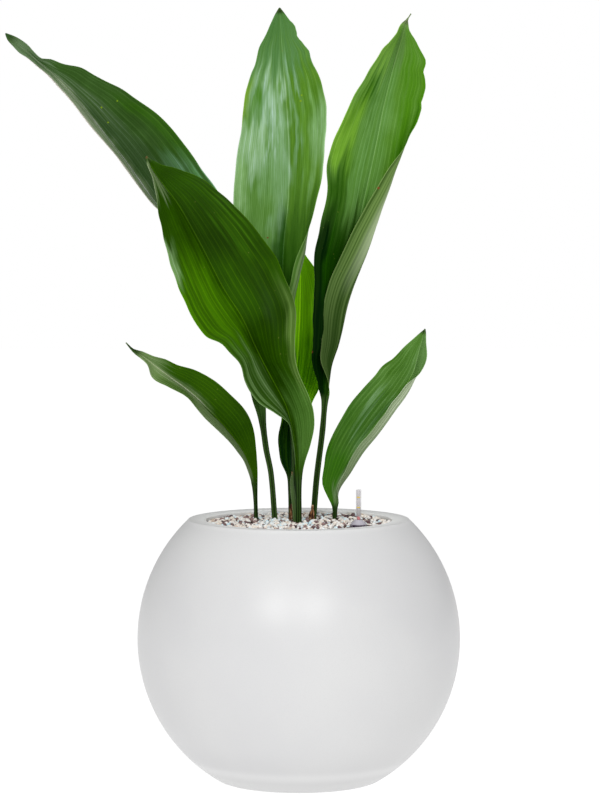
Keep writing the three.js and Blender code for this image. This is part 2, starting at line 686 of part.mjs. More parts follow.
function addLeaves() {
  for (const [name, { color, stations }] of Object.entries(LEAVES)) {
    const stalkDepth = 0.9 * stations[0][3];
    const form = { thick: BLADE_THICK, stalkDepth, rib: 1, wave: MARGIN_WAVE };
    addMesh(name, bladeGeometry(stations, form), color, 0.45);
  }
  const rolled = { thick: BLADE_THICK, stalkDepth: SHOOT_DEPTH, rib: 0.8, wave: 0 };
  addMesh('young_shoot', bladeGeometry(SHOOT, rolled), 0x7da05a, 0.5);
  const scale = { thick: SHEATH_THICK, stalkDepth: 0, rib: 0, wave: 0 };
  for (const [name, stations] of Object.entries(SHEATHS)) {
    addMesh(name, bladeGeometry(stations, scale), 0x8c5a33, 0.85);
  }
}

addMesh('pot', potGeometry(), 0xdcdcdc, 0.75);
addFill();
addMesh('rootstock', toGeometry(rootstock(0)), 0x8a6f4c, 0.9);
addLeaves();
addGauge();

export default plant;
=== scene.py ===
"""The looks of a cast iron plant in a round planter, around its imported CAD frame.

Lengths are millimetres until a mesh is made, which is in metres. What a material, a light or the
camera takes is in metres.
"""
import math

import bpy
import numpy as np
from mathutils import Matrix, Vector
from mathutils.bvhtree import BVHTree


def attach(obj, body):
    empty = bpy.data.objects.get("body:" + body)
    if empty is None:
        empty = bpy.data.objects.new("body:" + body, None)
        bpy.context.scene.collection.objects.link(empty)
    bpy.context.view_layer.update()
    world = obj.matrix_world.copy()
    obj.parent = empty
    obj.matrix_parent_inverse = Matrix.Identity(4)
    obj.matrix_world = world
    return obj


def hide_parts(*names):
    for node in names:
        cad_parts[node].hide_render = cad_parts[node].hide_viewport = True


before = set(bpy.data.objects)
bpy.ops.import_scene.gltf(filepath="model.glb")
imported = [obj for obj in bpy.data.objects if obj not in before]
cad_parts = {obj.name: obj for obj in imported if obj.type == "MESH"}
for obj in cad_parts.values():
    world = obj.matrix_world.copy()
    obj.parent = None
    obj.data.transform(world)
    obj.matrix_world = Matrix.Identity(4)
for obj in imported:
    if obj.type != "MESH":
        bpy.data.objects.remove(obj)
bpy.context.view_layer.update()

MM = 0.001

# Blades
RING_STEP = 3.5
ACROSS = 26
RIB_SAMPLES = 6
RIB_HALF_WIDTH = 4
RIB_DEPTH = 2.3
CREASE = 1.4
STALK_FADE = 7
STALK_TURN = 25
BEND = 0.5
BEND_SPREAD = 0.25
WIDTH_RIPPLE = 0.35
LEAST_WIDTH = 0.3
MARGIN_WAVELENGTH = 85
RIPPLE_WAVELENGTH = 27
WAVE_FULL_WIDTH = 30
PLEATS = 8
GROOVE_REACH = 1.3
CHANNEL_SHARE = 0.55

# Planter
POT_RADIUS = 170
POT_EQUATOR = 150
POT_HALF_HEIGHT = 172.5
POT_HEIGHT = 276.3
POT_WALL = 8
POT_FLOOR = 12
POT_INNER_LEVELS = (235, 215, 195, 172, 150, 128, 105, 87, 70, 54, 38, 24, POT_FLOOR)
OPENING_RADIUS = 97.7
LIP_DROP = 0.6
LIP_THICK = 7
BASE_EDGE = 1.5
CREST_EDGE = 1
CREST_WIDTH = 2.2
POT_SIDES = 192
POT_STEPS = 72

# Granulate
STONE_SPACING = 4.3
ROW_SHARE = 0.87
STONE_SHIFT = 1.1
STONE_SIZES = (1.9, 3.1)
STONE_SHAPES = 24
STONE_CUTS = 9
UPPER_STONES = 0.4
UPPER_RISE = (0.3, 1.6)
LOWER_RISE = (-2.0, -0.7)
UPPER_SLOPE = 0.006
LOWEST_SEAT = 266
CONE_CLEAR = 10
CONE_RISE = -1.7

# Water level gauge
GAUGE_X = 62
GAUGE_Y = -51
GAUGE_SIDES = 48
NECK_RADIUS = 2.8
NECK_WALL = 1
NECK_TOP = 312
SHAFT_RADIUS = 9
SHAFT_TOP = 262
SHAFT_SHOULDER = 6
SHAFT_FOOT = 22
FLOAT_RADIUS = 6.8
FLOAT_FOOT = 32
FLOAT_HEIGHT = 42
NEEDLE_RADIUS = 1.2
NEEDLE_TOP = 283.8
BEAD_RADIUS = 1.6
WINDOW_TOP = 284.4
COLLAR_FOOT = 272.4
COLLAR_RADIUS = 8.8
COLLAR_RISE = 8.2
COLLAR_WALL = 1.2
COLLAR_GAP = 0.3
MARK_LEVELS = (304, 293.5)
MARK_HALF_HEIGHT = 0.6
MARK_DEPTHS = (-0.05, 0.14)
MARK_START = -132
MARK_TURN = 74
MARK_STEPS = 12

# Stations of each blade from its foot to its tip: x, y, z, half width, and in degrees the turn of
# the left and of the right half, where they aren't the stalk's. Where a half turns further out, the
# station has four turns, left at midrib and margin and right at midrib and margin, and may end with
# the share of the width at which the right half bends.
LEAVES = {"leaf_front": [
    (0, -10, 250, 3), (0, -11, 276, 3), (-0.2, -13, 312, 3.1), (-1.5, -15, 337, 7, 80, 10),
    (-3.4, -16, 354, 15, 86, 5), (-6, -18, 370, 23, 86, 17), (-9.2, -19, 384, 28, 84, 27),
    (-13.3, -20, 397, 33, 71, 40), (-19.6, -21, 410, 38, 61, 44),
    (-27.6, -23, 425, 44, 57.5, 57.5, 52, 44), (-36, -24.5, 441, 48, 61, 61, 58, 28),
    (-44.5, -26, 458, 52, 66, 66, 46, 10), (-59.3, -28, 490, 59, 50, 50, 12, -22),
    (-78.2, -29, 520, 64, 50, 50, 5, -10), (-101, -28, 564, 56, 53, 53, 12, 5),
    (-123.5, -25, 604, 41, 57, 10), (-143.4, -21, 631, 22, 77, 10), (-151, -20, 642, 11, 77, 10),
    (-158.8, -18, 656, 0.5, 60, 10),
], "leaf_tall": [
    (-3.6, 12, 250, 2.8), (-3.8, 14.4, 276, 2.8), (-4.2, 18, 315, 2.8), (-5.6, 24, 357, 2.8),
    (-7.7, 29, 389, 4.5, 25, 30), (-9.3, 33, 415, 14, 20, 20, 50, 60),
    (-12, 38, 452, 32, 18, 18, 70, 120), (-14, 43, 489, 44, 18, 18, 72, 165),
    (-15.7, 48, 521, 51, 18, 18, 62, 158), (-16.5, 52, 548, 55, 18, 18, 55, 150),
    (-14.7, 56, 574, 58, 18, 15, 58, 95), (-11, 60, 611, 60, 16, 60), (-10, 64, 653, 57, 17, 51),
    (-11.5, 67, 691, 51, 20, 37), (-14, 69, 728, 44, 18, 30), (-17, 70, 760, 30, 20, 15),
    (-19, 70, 791, 16, 30, 10), (-20.3, 69, 815, 0.5, 20, 10),
], "leaf_back_left": [
    (-23.2, 7, 250, 2.4), (-25.4, 10.2, 276, 2.4), (-29.4, 16, 323, 2.4), (-34.4, 20, 348, 2.6),
    (-37.8, 25, 372, 3), (-41, 30, 391, 5.6, 40, 10), (-48.6, 38, 415, 13, 78, 15),
    (-56, 47, 443, 24, 86, 20), (-68, 57, 475, 38, 88, 15), (-84, 67, 507, 50, 89, 18),
    (-103, 76, 538, 58, 90, 18), (-122, 83, 567, 60, 90, 15), (-140, 88, 592, 61, 89.5, 10),
    (-157, 91, 612, 62, 89, 5), (-171, 94, 632, 61, 88, 88, 5, 0),
    (-192, 97, 661, 57, 86.8, 86.8, 5, 0), (-214, 99, 689, 49, 84.4, 84.4, 5, 0),
    (-235, 100, 716, 35, 80.5, 80.5, 5, 0), (-257, 100, 739, 20, 76, 5), (-265, 99.5, 747, 14, 71, 8),
    (-273, 99, 753.5, 10.8, 67, 10), (-279, 98.5, 758.5, 7, 54, 48), (-284.5, 98, 763.5, 6.3, 48, 50),
    (-289.5, 97.5, 768, 5.9, 40, 40), (-295.5, 97, 772.8, 6, 24, 20), (-303, 96, 779.3, 4.7, 15, 15),
    (-310, 95, 784.6, 2.9, 10, 10), (-314.3, 94, 789, 0.5, 10, 10),
], "leaf_behind": [
    (-8, 33, 250, 2.4), (-8.4, 34.5, 276, 2.4), (-8.8, 36, 303, 2.5), (-8.8, 38, 319, 4),
    (-8.8, 40, 335, 11, 30, 50), (-8.3, 43, 351, 17, 37, 55), (-7.2, 48, 372, 24, 60, 55),
    (-5.6, 53, 394, 30, 62, 52), (-4, 56, 410, 34, 55, 41), (-0.8, 63, 451, 38, 40, 15),
    (1.3, 69, 493, 36, 30, 10), (1.8, 73, 525, 24, 20, 5), (1.3, 74, 539, 15, 20, 5),
    (0.2, 75, 552, 6.5, 20, 5), (-0.8, 76, 565, 0.5, 20, 5),
], "leaf_right": [
    (13.6, 25, 250, 2.6), (15.6, 23.8, 276, 2.6), (18.7, 22, 315, 2.6), (24.8, 19, 366, 2.6),
    (27.5, 17, 400, 3.2), (28.2, 16, 416, 9, 35, 35, 40, 90), (31.3, 17, 435, 20, 29, 29, 60, 150, 0.4),
    (36, 18, 458, 30, 40, 40, 50, 190, 0.4), (44.5, 22, 500, 40, 44, 44, 25, 165, 0.275),
    (53, 28, 541, 46, 33.5, 33.5, 15, 165, 0.355), (60.5, 32, 571, 47, 33, 33, 12, 165, 0.43),
    (69, 38, 611, 47, 31, 31, 10, 150, 0.52), (76.4, 42, 643, 47, 14, 14, 10, 130, 0.57),
    (83, 46, 674, 46, 22, 22, 24, 82, 0.68), (90, 50, 709, 41, 35, 35, 10, 30),
    (98, 54, 742, 37, 54, 0), (104, 56, 764, 30, 57, 0), (109.4, 57, 782, 17, 61, 8),
    (115, 58, 801, 1.5, 30, 20), (119, 58, 808, 0.5, 30, 20),
], "leaf_low_left": [
    (-44.6, 31, 250, 2), (-45.4, 28, 276, 2), (-45.9, 26, 293, 2), (-47, 23, 310, 3.2, 50, 10),
    (-50, 18, 326, 6.5, 62, 5), (-55.5, 12, 341, 12, 74, 5), (-63.5, 6, 355, 19.5, 77, 5),
    (-73, -1, 368.5, 24, 78, 8), (-83.5, -8, 381, 27, 77.5, 8), (-95.5, -15, 394, 27.5, 77, 8),
    (-106.5, -21, 405.5, 25.5, 76, 5), (-120, -27, 417, 21.5, 77, 5), (-134, -32, 427.5, 14.5, 55, 5),
    (-146, -36, 437, 12, 20, 0), (-156, -39, 445, 7, 66, 15), (-164.5, -41, 451.5, 4, 58, 15),
    (-171.7, -42, 456, 1.5, 30, 15), (-179, -43, 464, 0.5, 30, 15),
], "leaf_low_right": [
    (37.6, 18, 250, 2.2), (38.1, 19.4, 276, 2.2), (38.3, 20, 287, 3),
    (38.9, 21, 299, 8.5, 5, 5, 60, 100), (41.5, 23, 310, 16.5, 0, 0, 60, 125),
    (50, 27, 325, 25, 0, 0, 60, 130), (63, 33, 347, 30, 0, 0, 60, 130),
    (78, 39, 367, 33, 0, 0, 60, 130), (95, 45, 389, 33, 0, 0, 62, 128),
    (111, 50, 409, 31, 0, 0, 65, 120), (122, 54, 428, 28, 0, 0, 78, 82), (128, 57, 449, 17, 0, 64),
    (135, 60, 473.5, 0.5, 0, 60),
]}
SHOOT = [
    (-3.2, 1, 250, 2.2, 5, 5), (-3.2, 1, 273, 2.2, 5, 5), (-4.6, 0.5, 290, 2.3, 5, 5),
    (-6.4, 0, 305, 2.2, 5, 5), (-7.3, 0, 316, 1.5, 5, 5), (-6.8, 0, 326, 0.6, 5, 5),
]
SHEATHS = {"sheath_middle": [
    (-7.4, 28.8, 266, 3.2, -20, -40, -20, -40), (-7.4, 28.8, 274, 3.3, -20, -40, -20, -40),
    (-7.7, 28.9, 282, 2.7, -20, -40, -20, -40), (-8.3, 29, 289, 0.6, -20, -30, -20, -30),
], "sheath_right": [
    (13.6, 18.6, 266, 3.2, -20, -40, -20, -40), (13.6, 18.6, 274, 3.3, -20, -40, -20, -40),
    (14, 18.5, 282, 2.6, -20, -40, -20, -40), (15, 18.3, 289, 0.6, -20, -30, -20, -30),
]}

# Places where a margin is nicked or, with a depth under 0, bulges: side, height, depth, reach along
NICKS = {"leaf_tall": [
    (1, 796, -1.8, 4), (1, 783, 2.4, 4), (1, 767, -2.2, 5), (1, 752, 0.8, 6), (1, 697, -1.5, 18),
    (1, 585, -3.0, 20), (-1, 774, -2.4, 9), (-1, 756, 1.0, 6), (-1, 700, -0.9, 110),
    (-1, 634, -1.2, 24),
], "leaf_right": [
    (1, 792, 3.6, 8), (1, 768, -3.2, 7), (1, 755, 1.8, 4), (1, 739, -1.2, 7), (1, 722, 1.5, 4),
    (-1, 786, 1.0, 4), (-1, 777, -2.2, 5), (-1, 757, 1.0, 9), (-1, 703, -1.4, 14), (-1, 632, -1.6, 22),
    (-1, 545, -1.0, 10), (-1, 452, 1.6, 4),
], "leaf_back_left": [
    (1, 735, -3.0, 8), (1, 704, -2.2, 10), (1, 670, -1.2, 12), (1, 645, -1.4, 26),
], "leaf_front": [
    (-1, 553, 1.2, 14), (-1, 528, 0.9, 8), (-1, 500, -1.2, 14), (-1, 478, 6.5, 9), (-1, 440, -2.4, 13),
    (1, 600, 1.2, 9), (1, 345, -1.5, 13),
], "leaf_low_left": [
    (1, 424, -1.2, 8), (1, 368, -2.2, 14), (-1, 404, -1.0, 9),
], "leaf_low_right": [
    (-1, 415, -1.2, 9), (-1, 378, -2.2, 40), (-1, 305, -2.0, 10), (1, 456, 1.2, 10), (1, 432, -1.4, 8),
], "leaf_behind": [
    (1, 470, 1.0, 8), (-1, 333, -1.5, 9),
], "sheath_middle": [
    (-1, 286, -1.2, 1.2), (-1, 281, 1.5, 1.2), (1, 283, 1.3, 1.2), (-1, 276, -0.7, 1.5),
], "sheath_right": [
    (-1, 283.5, 1.7, 1.3), (-1, 287.5, -1.0, 1), (1, 285, 1.0, 1.2), (-1, 277.5, -0.8, 1.6),
]}


# Colours and node materials

def srgb(red, green, blue):
    """A colour as seen, 0 to 255, in Blender's linear values."""
    return tuple(
        (c / 255 / 12.92) if c < 11 else ((c / 255 + 0.055) / 1.055) ** 2.4 for c in (red, green, blue))


class Paint:
    """A node material on one Principled shader."""

    def __init__(self, name, specular, **constants):
        self.material = bpy.data.materials.new(name)
        self.material.use_nodes = True
        self.tree = self.material.node_tree
        self.shader = self.tree.nodes["Principled BSDF"]
        for socket, value in {"Specular IOR Level": specular, **constants}.items():
            self.shader.inputs[socket].default_value = value

    def put(self, socket, value):
        if isinstance(value, bpy.types.NodeSocket):
            self.tree.links.new(value, socket)
        elif isinstance(value, tuple) and len(value) == 3 and len(socket.default_value) == 4:
            socket.default_value = (*value, 1)
        else:
            socket.default_value = value

    def node(self, kind, inputs, **settings):
        made = self.tree.nodes.new("ShaderNode" + kind)
        for key, value in settings.items():
            setattr(made, key, value)
        for socket, value in inputs.items():
            self.put(made.inputs[socket], value)
        return made

    def math(self, operation, *values):
        return self.node("Math", dict(enumerate(values)), operation=operation).outputs[0]

    def times(self, value, *factors):
        for factor in factors:
            value = self.math("MULTIPLY", value, factor)
        return value

    def step(self, value, start, end, low=0.0, high=1.0):
        """A smooth step from low at start to high at end."""
        inputs = {"Value": value, "From Min": start, "From Max": end, "To Min": low, "To Max": high}
        return self.node("MapRange", inputs, interpolation_type="SMOOTHSTEP").outputs["Result"]

    def fall(self, value, start, end, high=1.0):
        return self.step(value, start, end, high, 0.0)

    def blend(self, kind, share, first, second):
        inputs = {0: share, 6: first, 7: second}
        return self.node("Mix", inputs, data_type="RGBA", blend_type=kind).outputs[2]

    def mix(self, share, *colors):
        """The first colour with a share of the second. Each is a socket or a colour as seen."""
        return self.blend("MIX", share, *(srgb(*c) if isinstance(c, tuple) else c for c in colors))

    def tint(self, share, color, factors):
        """The colour, to a share multiplied by linear factors."""
        return self.blend("MULTIPLY", share, color, factors)

    def attribute(self, name):
        return self.node("Attribute", {}, attribute_name=name).outputs["Fac"]

    def vector(self, x, y, z):
        return self.node("CombineXYZ", {0: x, 1: y, 2: z}).outputs[0]

    def point(self):
        """The place on the piece as x, y and z."""
        return self.node("SeparateXYZ", {0: self.node("TexCoord", {}).outputs["Object"]}).outputs

    def noise(self, vector, detail=2.0):
        return self.node("TexNoise", {"Vector": vector, "Scale": 1.0, "Detail": detail}).outputs["Fac"]

    def stretched(self, place, scale, detail):
        vector = self.node("Mapping", {"Vector": place, "Scale": scale}).outputs["Vector"]
        return self.noise(vector, detail)

    def grains(self, scale, detail=2.0):
        """Noise in the piece, where the scale is one number or one for each axis."""
        scale = scale if isinstance(scale, tuple) else (scale, scale, scale)
        return self.stretched(self.node("TexCoord", {}).outputs["Object"], scale, detail)

    def fibres(self, along, across, detail):
        """Noise drawn out along a blade."""
        place = self.node("UVMap", {}, uv_map="leaf").outputs["UV"]
        return self.stretched(place, (along, across, 1), detail)

    def bump(self, height, strength, distance):
        inputs = {"Height": height, "Strength": strength, "Distance": distance}
        self.put(self.shader.inputs["Normal"], self.node("Bump", inputs).outputs["Normal"])

    def finish(self, color, roughness):
        self.put(self.shader.inputs["Base Color"], color)
        self.put(self.shader.inputs["Roughness"], roughness)
        return self.material

    def finish_by(self, pattern, color, low, high):
        """Finish with a roughness from low to high that follows the pattern."""
        return self.finish(color, self.step(pattern, 0.3, 0.7, low, high))


def two_tone(name, specular, scale, detail, spread, dark, light, bump, rough, **constants):
    """A material of two colours in grains, which its bumps and its roughness follow."""
    paint = Paint(name, specular, **constants)
    grains = paint.grains(scale, detail)
    color = paint.mix(paint.step(grains, *spread), dark, light)
    paint.bump(grains, *bump)
    return paint.finish_by(grains, color, *rough)


def add_object(name, mesh, material):
    made = bpy.data.objects.new(name, mesh)
    bpy.context.scene.collection.objects.link(made)
    made.data.materials.append(material)
    return made


def add_piece(name, mesh, material, slot, *nodes):
    """A visible piece that stands for its CAD nodes."""
    made = add_object(name, mesh, material)
    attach(made, "root")
    if nodes:
        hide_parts(*nodes)


def repaint(node, material):
    """A CAD node that stays visible as it is, with a material of its own."""
    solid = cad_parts[node]
    solid.data.materials.clear()
    solid.data.materials.append(material)
    return solid


def make_mesh(name, points, faces):
    mesh = bpy.data.meshes.new(name)
    mesh.from_pydata((np.asarray(points) * MM).tolist(), [], faces)
    mesh.validate()
    mesh.polygons.foreach_set("use_smooth", [True] * len(mesh.polygons))
    mesh.update()
    return mesh


def add_attribute(mesh, name, values):
    attribute = mesh.attributes.new(name, "FLOAT", "POINT")
    attribute.data.foreach_set("value", np.asarray(values, dtype=np.float32).ravel())


# Blades

def smooth_step(value, start, end):
    place = np.clip((value - start) / (end - start), 0, 1)
    return place * place * (3 - 2 * place)


def full_station(row, bend):
    """All nine values of a station."""
    if len(row) == 4:
        row = (*row, STALK_TURN, STALK_TURN)
    if len(row) == 6:
        row = (*row[:5], row[4], row[5], row[5])
    return (*row, bend)[:9]


def smooth_rows(stations, step, bend):
    """The stations with smooth rows between them."""
    rows = np.array([full_station(row, bend) for row in stations], float)
    places = np.concatenate([[0], np.cumsum(np.linalg.norm(np.diff(rows[:, :3], axis=0), axis=1))])
    last = len(rows) - 1
    before = np.maximum(np.arange(last + 1) - 1, 0)
    after = np.minimum(np.arange(last + 1) + 1, last)
    slope = (rows[after] - rows[before]) / (places[after] - places[before])[:, None]
    smooth = []
    for i in range(last):
        length = places[i + 1] - places[i]
        count = max(1, round(length / step))
        s = (np.arange(count) / count)[:, None]
        blend = s * s * (3 - 2 * s)
        row = rows[i] * (1 - blend) + rows[i + 1] * blend
        row += slope[i] * length * s * (1 - s) ** 2 - slope[i + 1] * length * s * s * (1 - s)
        smooth.append(row)
    smooth.append(rows[last:])
    return np.concatenate(smooth)


def unit(vectors):
    return vectors / np.linalg.norm(vectors, axis=-1, keepdims=True)


def half_distances(width, side_width, across):
    """Distances from the midrib to the margin across one half, finer beside the midrib."""
    rib_edge = np.minimum(0.75 * RIB_HALF_WIDTH, 0.45 * width)
    near = rib_edge * (np.arange(RIB_SAMPLES) + 1) / RIB_SAMPLES
    share = ((np.arange(across) + 1) / across) ** 0.9
    far = rib_edge + (side_width - rib_edge) * share
    return np.concatenate([near, far], axis=1)


def side_widths(rows, nicks, random):
    """Each half's own width: the stations' width with small ripples and nicks."""
    height, width = rows[:, 2:3], rows[:, 3:4]
    along = np.arange(len(rows))[:, None] * RING_STEP
    phase = random.uniform(0, 2 * math.pi, 4)
    sides = []
    for number, side in enumerate((-1, 1)):
        ripple = np.sin(along / 19 + phase[number]) + 0.7 * np.sin(along / 7.3 + phase[number + 2])
        own = width + WIDTH_RIPPLE * ripple * np.clip((width - 6) / 20, 0, 1)
        for nick_side, level, depth, reach in nicks:
            if nick_side == side:
                own = own - depth * np.exp(-((height - level) / reach) ** 2)
        sides.append(np.maximum(own, LEAST_WIDTH))
    return sides


def blade_half(side, rows, own, middle_tilt, across):
    """One half from the midrib out: distance, way sideways and forward, tilt, width and side."""
    width = rows[:, 3:4]
    column, bend = (4, BEND) if side < 0 else (6, rows[:, 8:9])
    inner, outer = np.radians(rows[:, column:column + 1]), np.radians(rows[:, column + 1:column + 2])
    reach = half_distances(width, own, across)
    lower = np.concatenate([np.zeros_like(width), reach[:, :-1]], axis=1)

    def tilt_at(distance):
        bent = smooth_step(distance / width, bend - BEND_SPREAD, bend + BEND_SPREAD)
        turn = inner * (1 - bent) + outer * bent
        open_share = smooth_step(distance, 0, np.minimum(CREASE, 0.4 * width))
        return middle_tilt + (side * turn - middle_tilt) * open_share

    tilt = tilt_at((reach + lower) / 2)
    pieces = reach - lower
    outward = np.cumsum(pieces * np.cos(tilt), axis=1) * side
    forward = np.cumsum(pieces * np.sin(tilt), axis=1) * side
    own = np.repeat(own, reach.shape[1], axis=1)
    return reach, outward, forward, tilt_at(reach), own, np.full_like(reach, side)


def skin_lift(form, along, across, side, full, seed, random):
    """How far waves at the margin, ripples and pleats lift the skin off the blade's middle."""
    share = np.abs(across)
    phase = 2 * math.pi * along / MARGIN_WAVELENGTH + side
    calm = np.where(side < 0, form.get("left_wave", 1), 1)
    lift = form["wave"] * calm * full * share ** 2 * np.sin(phase)
    ripple_phase = 2 * math.pi * along / RIPPLE_WAVELENGTH + 2.2 * side + random.uniform(0, 6)
    wobble = 0.5 + 0.5 * np.sin(along / 41 + random.uniform(0, 6))
    lift += form["ripple"] * calm * full * share ** 5 * wobble * np.sin(ripple_phase)
    drift = 0.6 * np.sin(along / 60)
    pleat_phase = 2 * math.pi * PLEATS * across + drift + 1.5 * np.sin(3.1 * across + seed)
    pleat_share = full ** 2 * smooth_step(share, 0.02, 0.15) * smooth_step(1 - share, 0, 0.12)
    strength = 0.6 + 0.4 * np.sin(5.3 * across + along / 47 + seed)
    return lift + form["pleat"] * pleat_share * strength * np.sin(pleat_phase)


def skin_offsets(form, width, distance, share, fraction, stalk, full):
    """How far the upper and the lower skin lie from the blade's middle."""
    stalk_rise = form["stalk_depth"] * np.sqrt(np.clip(1 - share ** 2, 0, 1))
    channel = 1 - form["channel"] * np.clip(1 - (share / CHANNEL_SHARE) ** 2, 0, 1)
    half_thick = form["thick"] / 2 + (form["margin"] - form["thick"]) / 2 * share ** 6
    rib = RIB_DEPTH * form["rib"] * (1 - fraction) ** 0.8
    keel = rib * np.sqrt(np.clip(1 - (distance / np.minimum(width, RIB_HALF_WIDTH)) ** 2, 0, 1))
    groove = form["groove"] * np.exp(-(distance / GROOVE_REACH) ** 2) * (1 - stalk) * full
    rise = np.maximum(half_thick - groove, stalk * stalk_rise * channel)
    return rise, np.maximum(half_thick, keel) + groove


def blade(name, stations, form, seed):
    """A blade or scale as a closed skin, with what its material needs at each point."""
    random = np.random.default_rng(seed)
    rows = smooth_rows(stations, form.get("step", RING_STEP), form.get("bend", BEND))
    middles, width = rows[:, :3], rows[:, 3:4]
    stalk = np.clip(1 - (width - rows[0, 3]) / STALK_FADE, 0, 1)
    width *= 1 + form["swell"] * stalk
    gaps = np.linalg.norm(np.diff(middles, axis=0), axis=1)
    along = np.concatenate([[0], np.cumsum(gaps)])[:, None]
    fraction = along / along[-1]
    count = len(rows)
    index = np.arange(count)
    tangent = unit(middles[np.minimum(index + 1, count - 1)] - middles[np.maximum(index - 1, 0)])
    sideways = unit(np.cross([0, 1, 0], tangent))
    front = unit(np.cross(sideways, tangent))

    middle_tilt = (np.radians(rows[:, 6:7]) - np.radians(rows[:, 4:5])) / 2
    halves = [blade_half(side, rows, own, middle_tilt, form.get("across", ACROSS))
              for side, own in zip((-1, 1), side_widths(rows, form.get("nicks", ()), random))]
    zero = np.zeros_like(width)
    midrib = (zero, zero, zero, middle_tilt, width, zero)
    distance, outward, forward, tilt, own_width, side = (
        np.concatenate([left[:, ::-1], middle, right], axis=1)
        for left, middle, right in zip(halves[0], midrib, halves[1]))
    across = side * distance / own_width
    full = np.minimum(1, width / WAVE_FULL_WIDTH)
    lift = skin_lift(form, along, across, side, full, seed, random)
    rise, drop = skin_offsets(form, width, distance, np.abs(across), fraction, stalk, full)

    normal = np.cos(tilt)[..., None] * front[:, None] - np.sin(tilt)[..., None] * sideways[:, None]
    base = middles[:, None] + outward[..., None] * sideways[:, None] + forward[..., None] * front[:, None]
    base = base + lift[..., None] * normal
    upper = base + rise[..., None] * normal
    lower = base - drop[..., None] * normal
    points = np.concatenate([upper, lower[:, ::-1]], axis=1)
    samples = upper.shape[1]
    mesh = make_mesh(name, points.reshape(-1, 3), skin_faces(count, samples))

    def both(values):
        values = np.broadcast_to(values, (count, samples))
        return np.concatenate([values, values[:, ::-1]], axis=1)

    add_attribute(mesh, "under", np.repeat([[0, 1]] * count, samples, axis=1))
    add_attribute(mesh, "stalk", both(stalk))
    add_attribute(mesh, "rib", both(distance))
    add_attribute(mesh, "edge", both(own_width - distance))
    add_attribute(mesh, "place", both(fraction))
    corners = np.empty(len(mesh.loops), np.int32)
    mesh.loops.foreach_get("vertex_index", corners)
    flat = np.stack([both(along / 100).ravel()[corners], both(across).ravel()[corners]], axis=1)
    mesh.uv_layers.new(name="leaf").data.foreach_set("uv", flat.astype(np.float32).ravel())
    return mesh


def skin_faces(rings, samples):
    """Quads over rings that each run along the upper face and back along the lower one."""
    around = 2 * samples
    faces = []
    for ring in range(rings - 1):
        for i in range(around):
            a = ring * around + i
            b = ring * around + (i + 1) % around
            faces.append((a, b, b + around, a + around))
    last = (rings - 1) * around
    for i in range(samples - 1):
        under = around - 1 - i
        faces.append((i, under, under - 1, i + 1))
        faces.append((last + i, last + i + 1, last + under - 1, last + under))
    return faces


# Linear factors on a blade's own colour, along its veins, midrib and margin
VEIN_SHADE = (0.72, 0.8, 0.6)
VEIN_LIGHT = (1.8, 1.5, 2.4)
RIB_LIGHT = (2.0, 1.6, 2.2)
MARGIN_LIGHT = (2.2, 1.8, 2.6)

DRY_TIP = (122, 92, 58)
BROWN_SPOT = (122, 66, 34)
YELLOW_SPOT = (128, 158, 20)

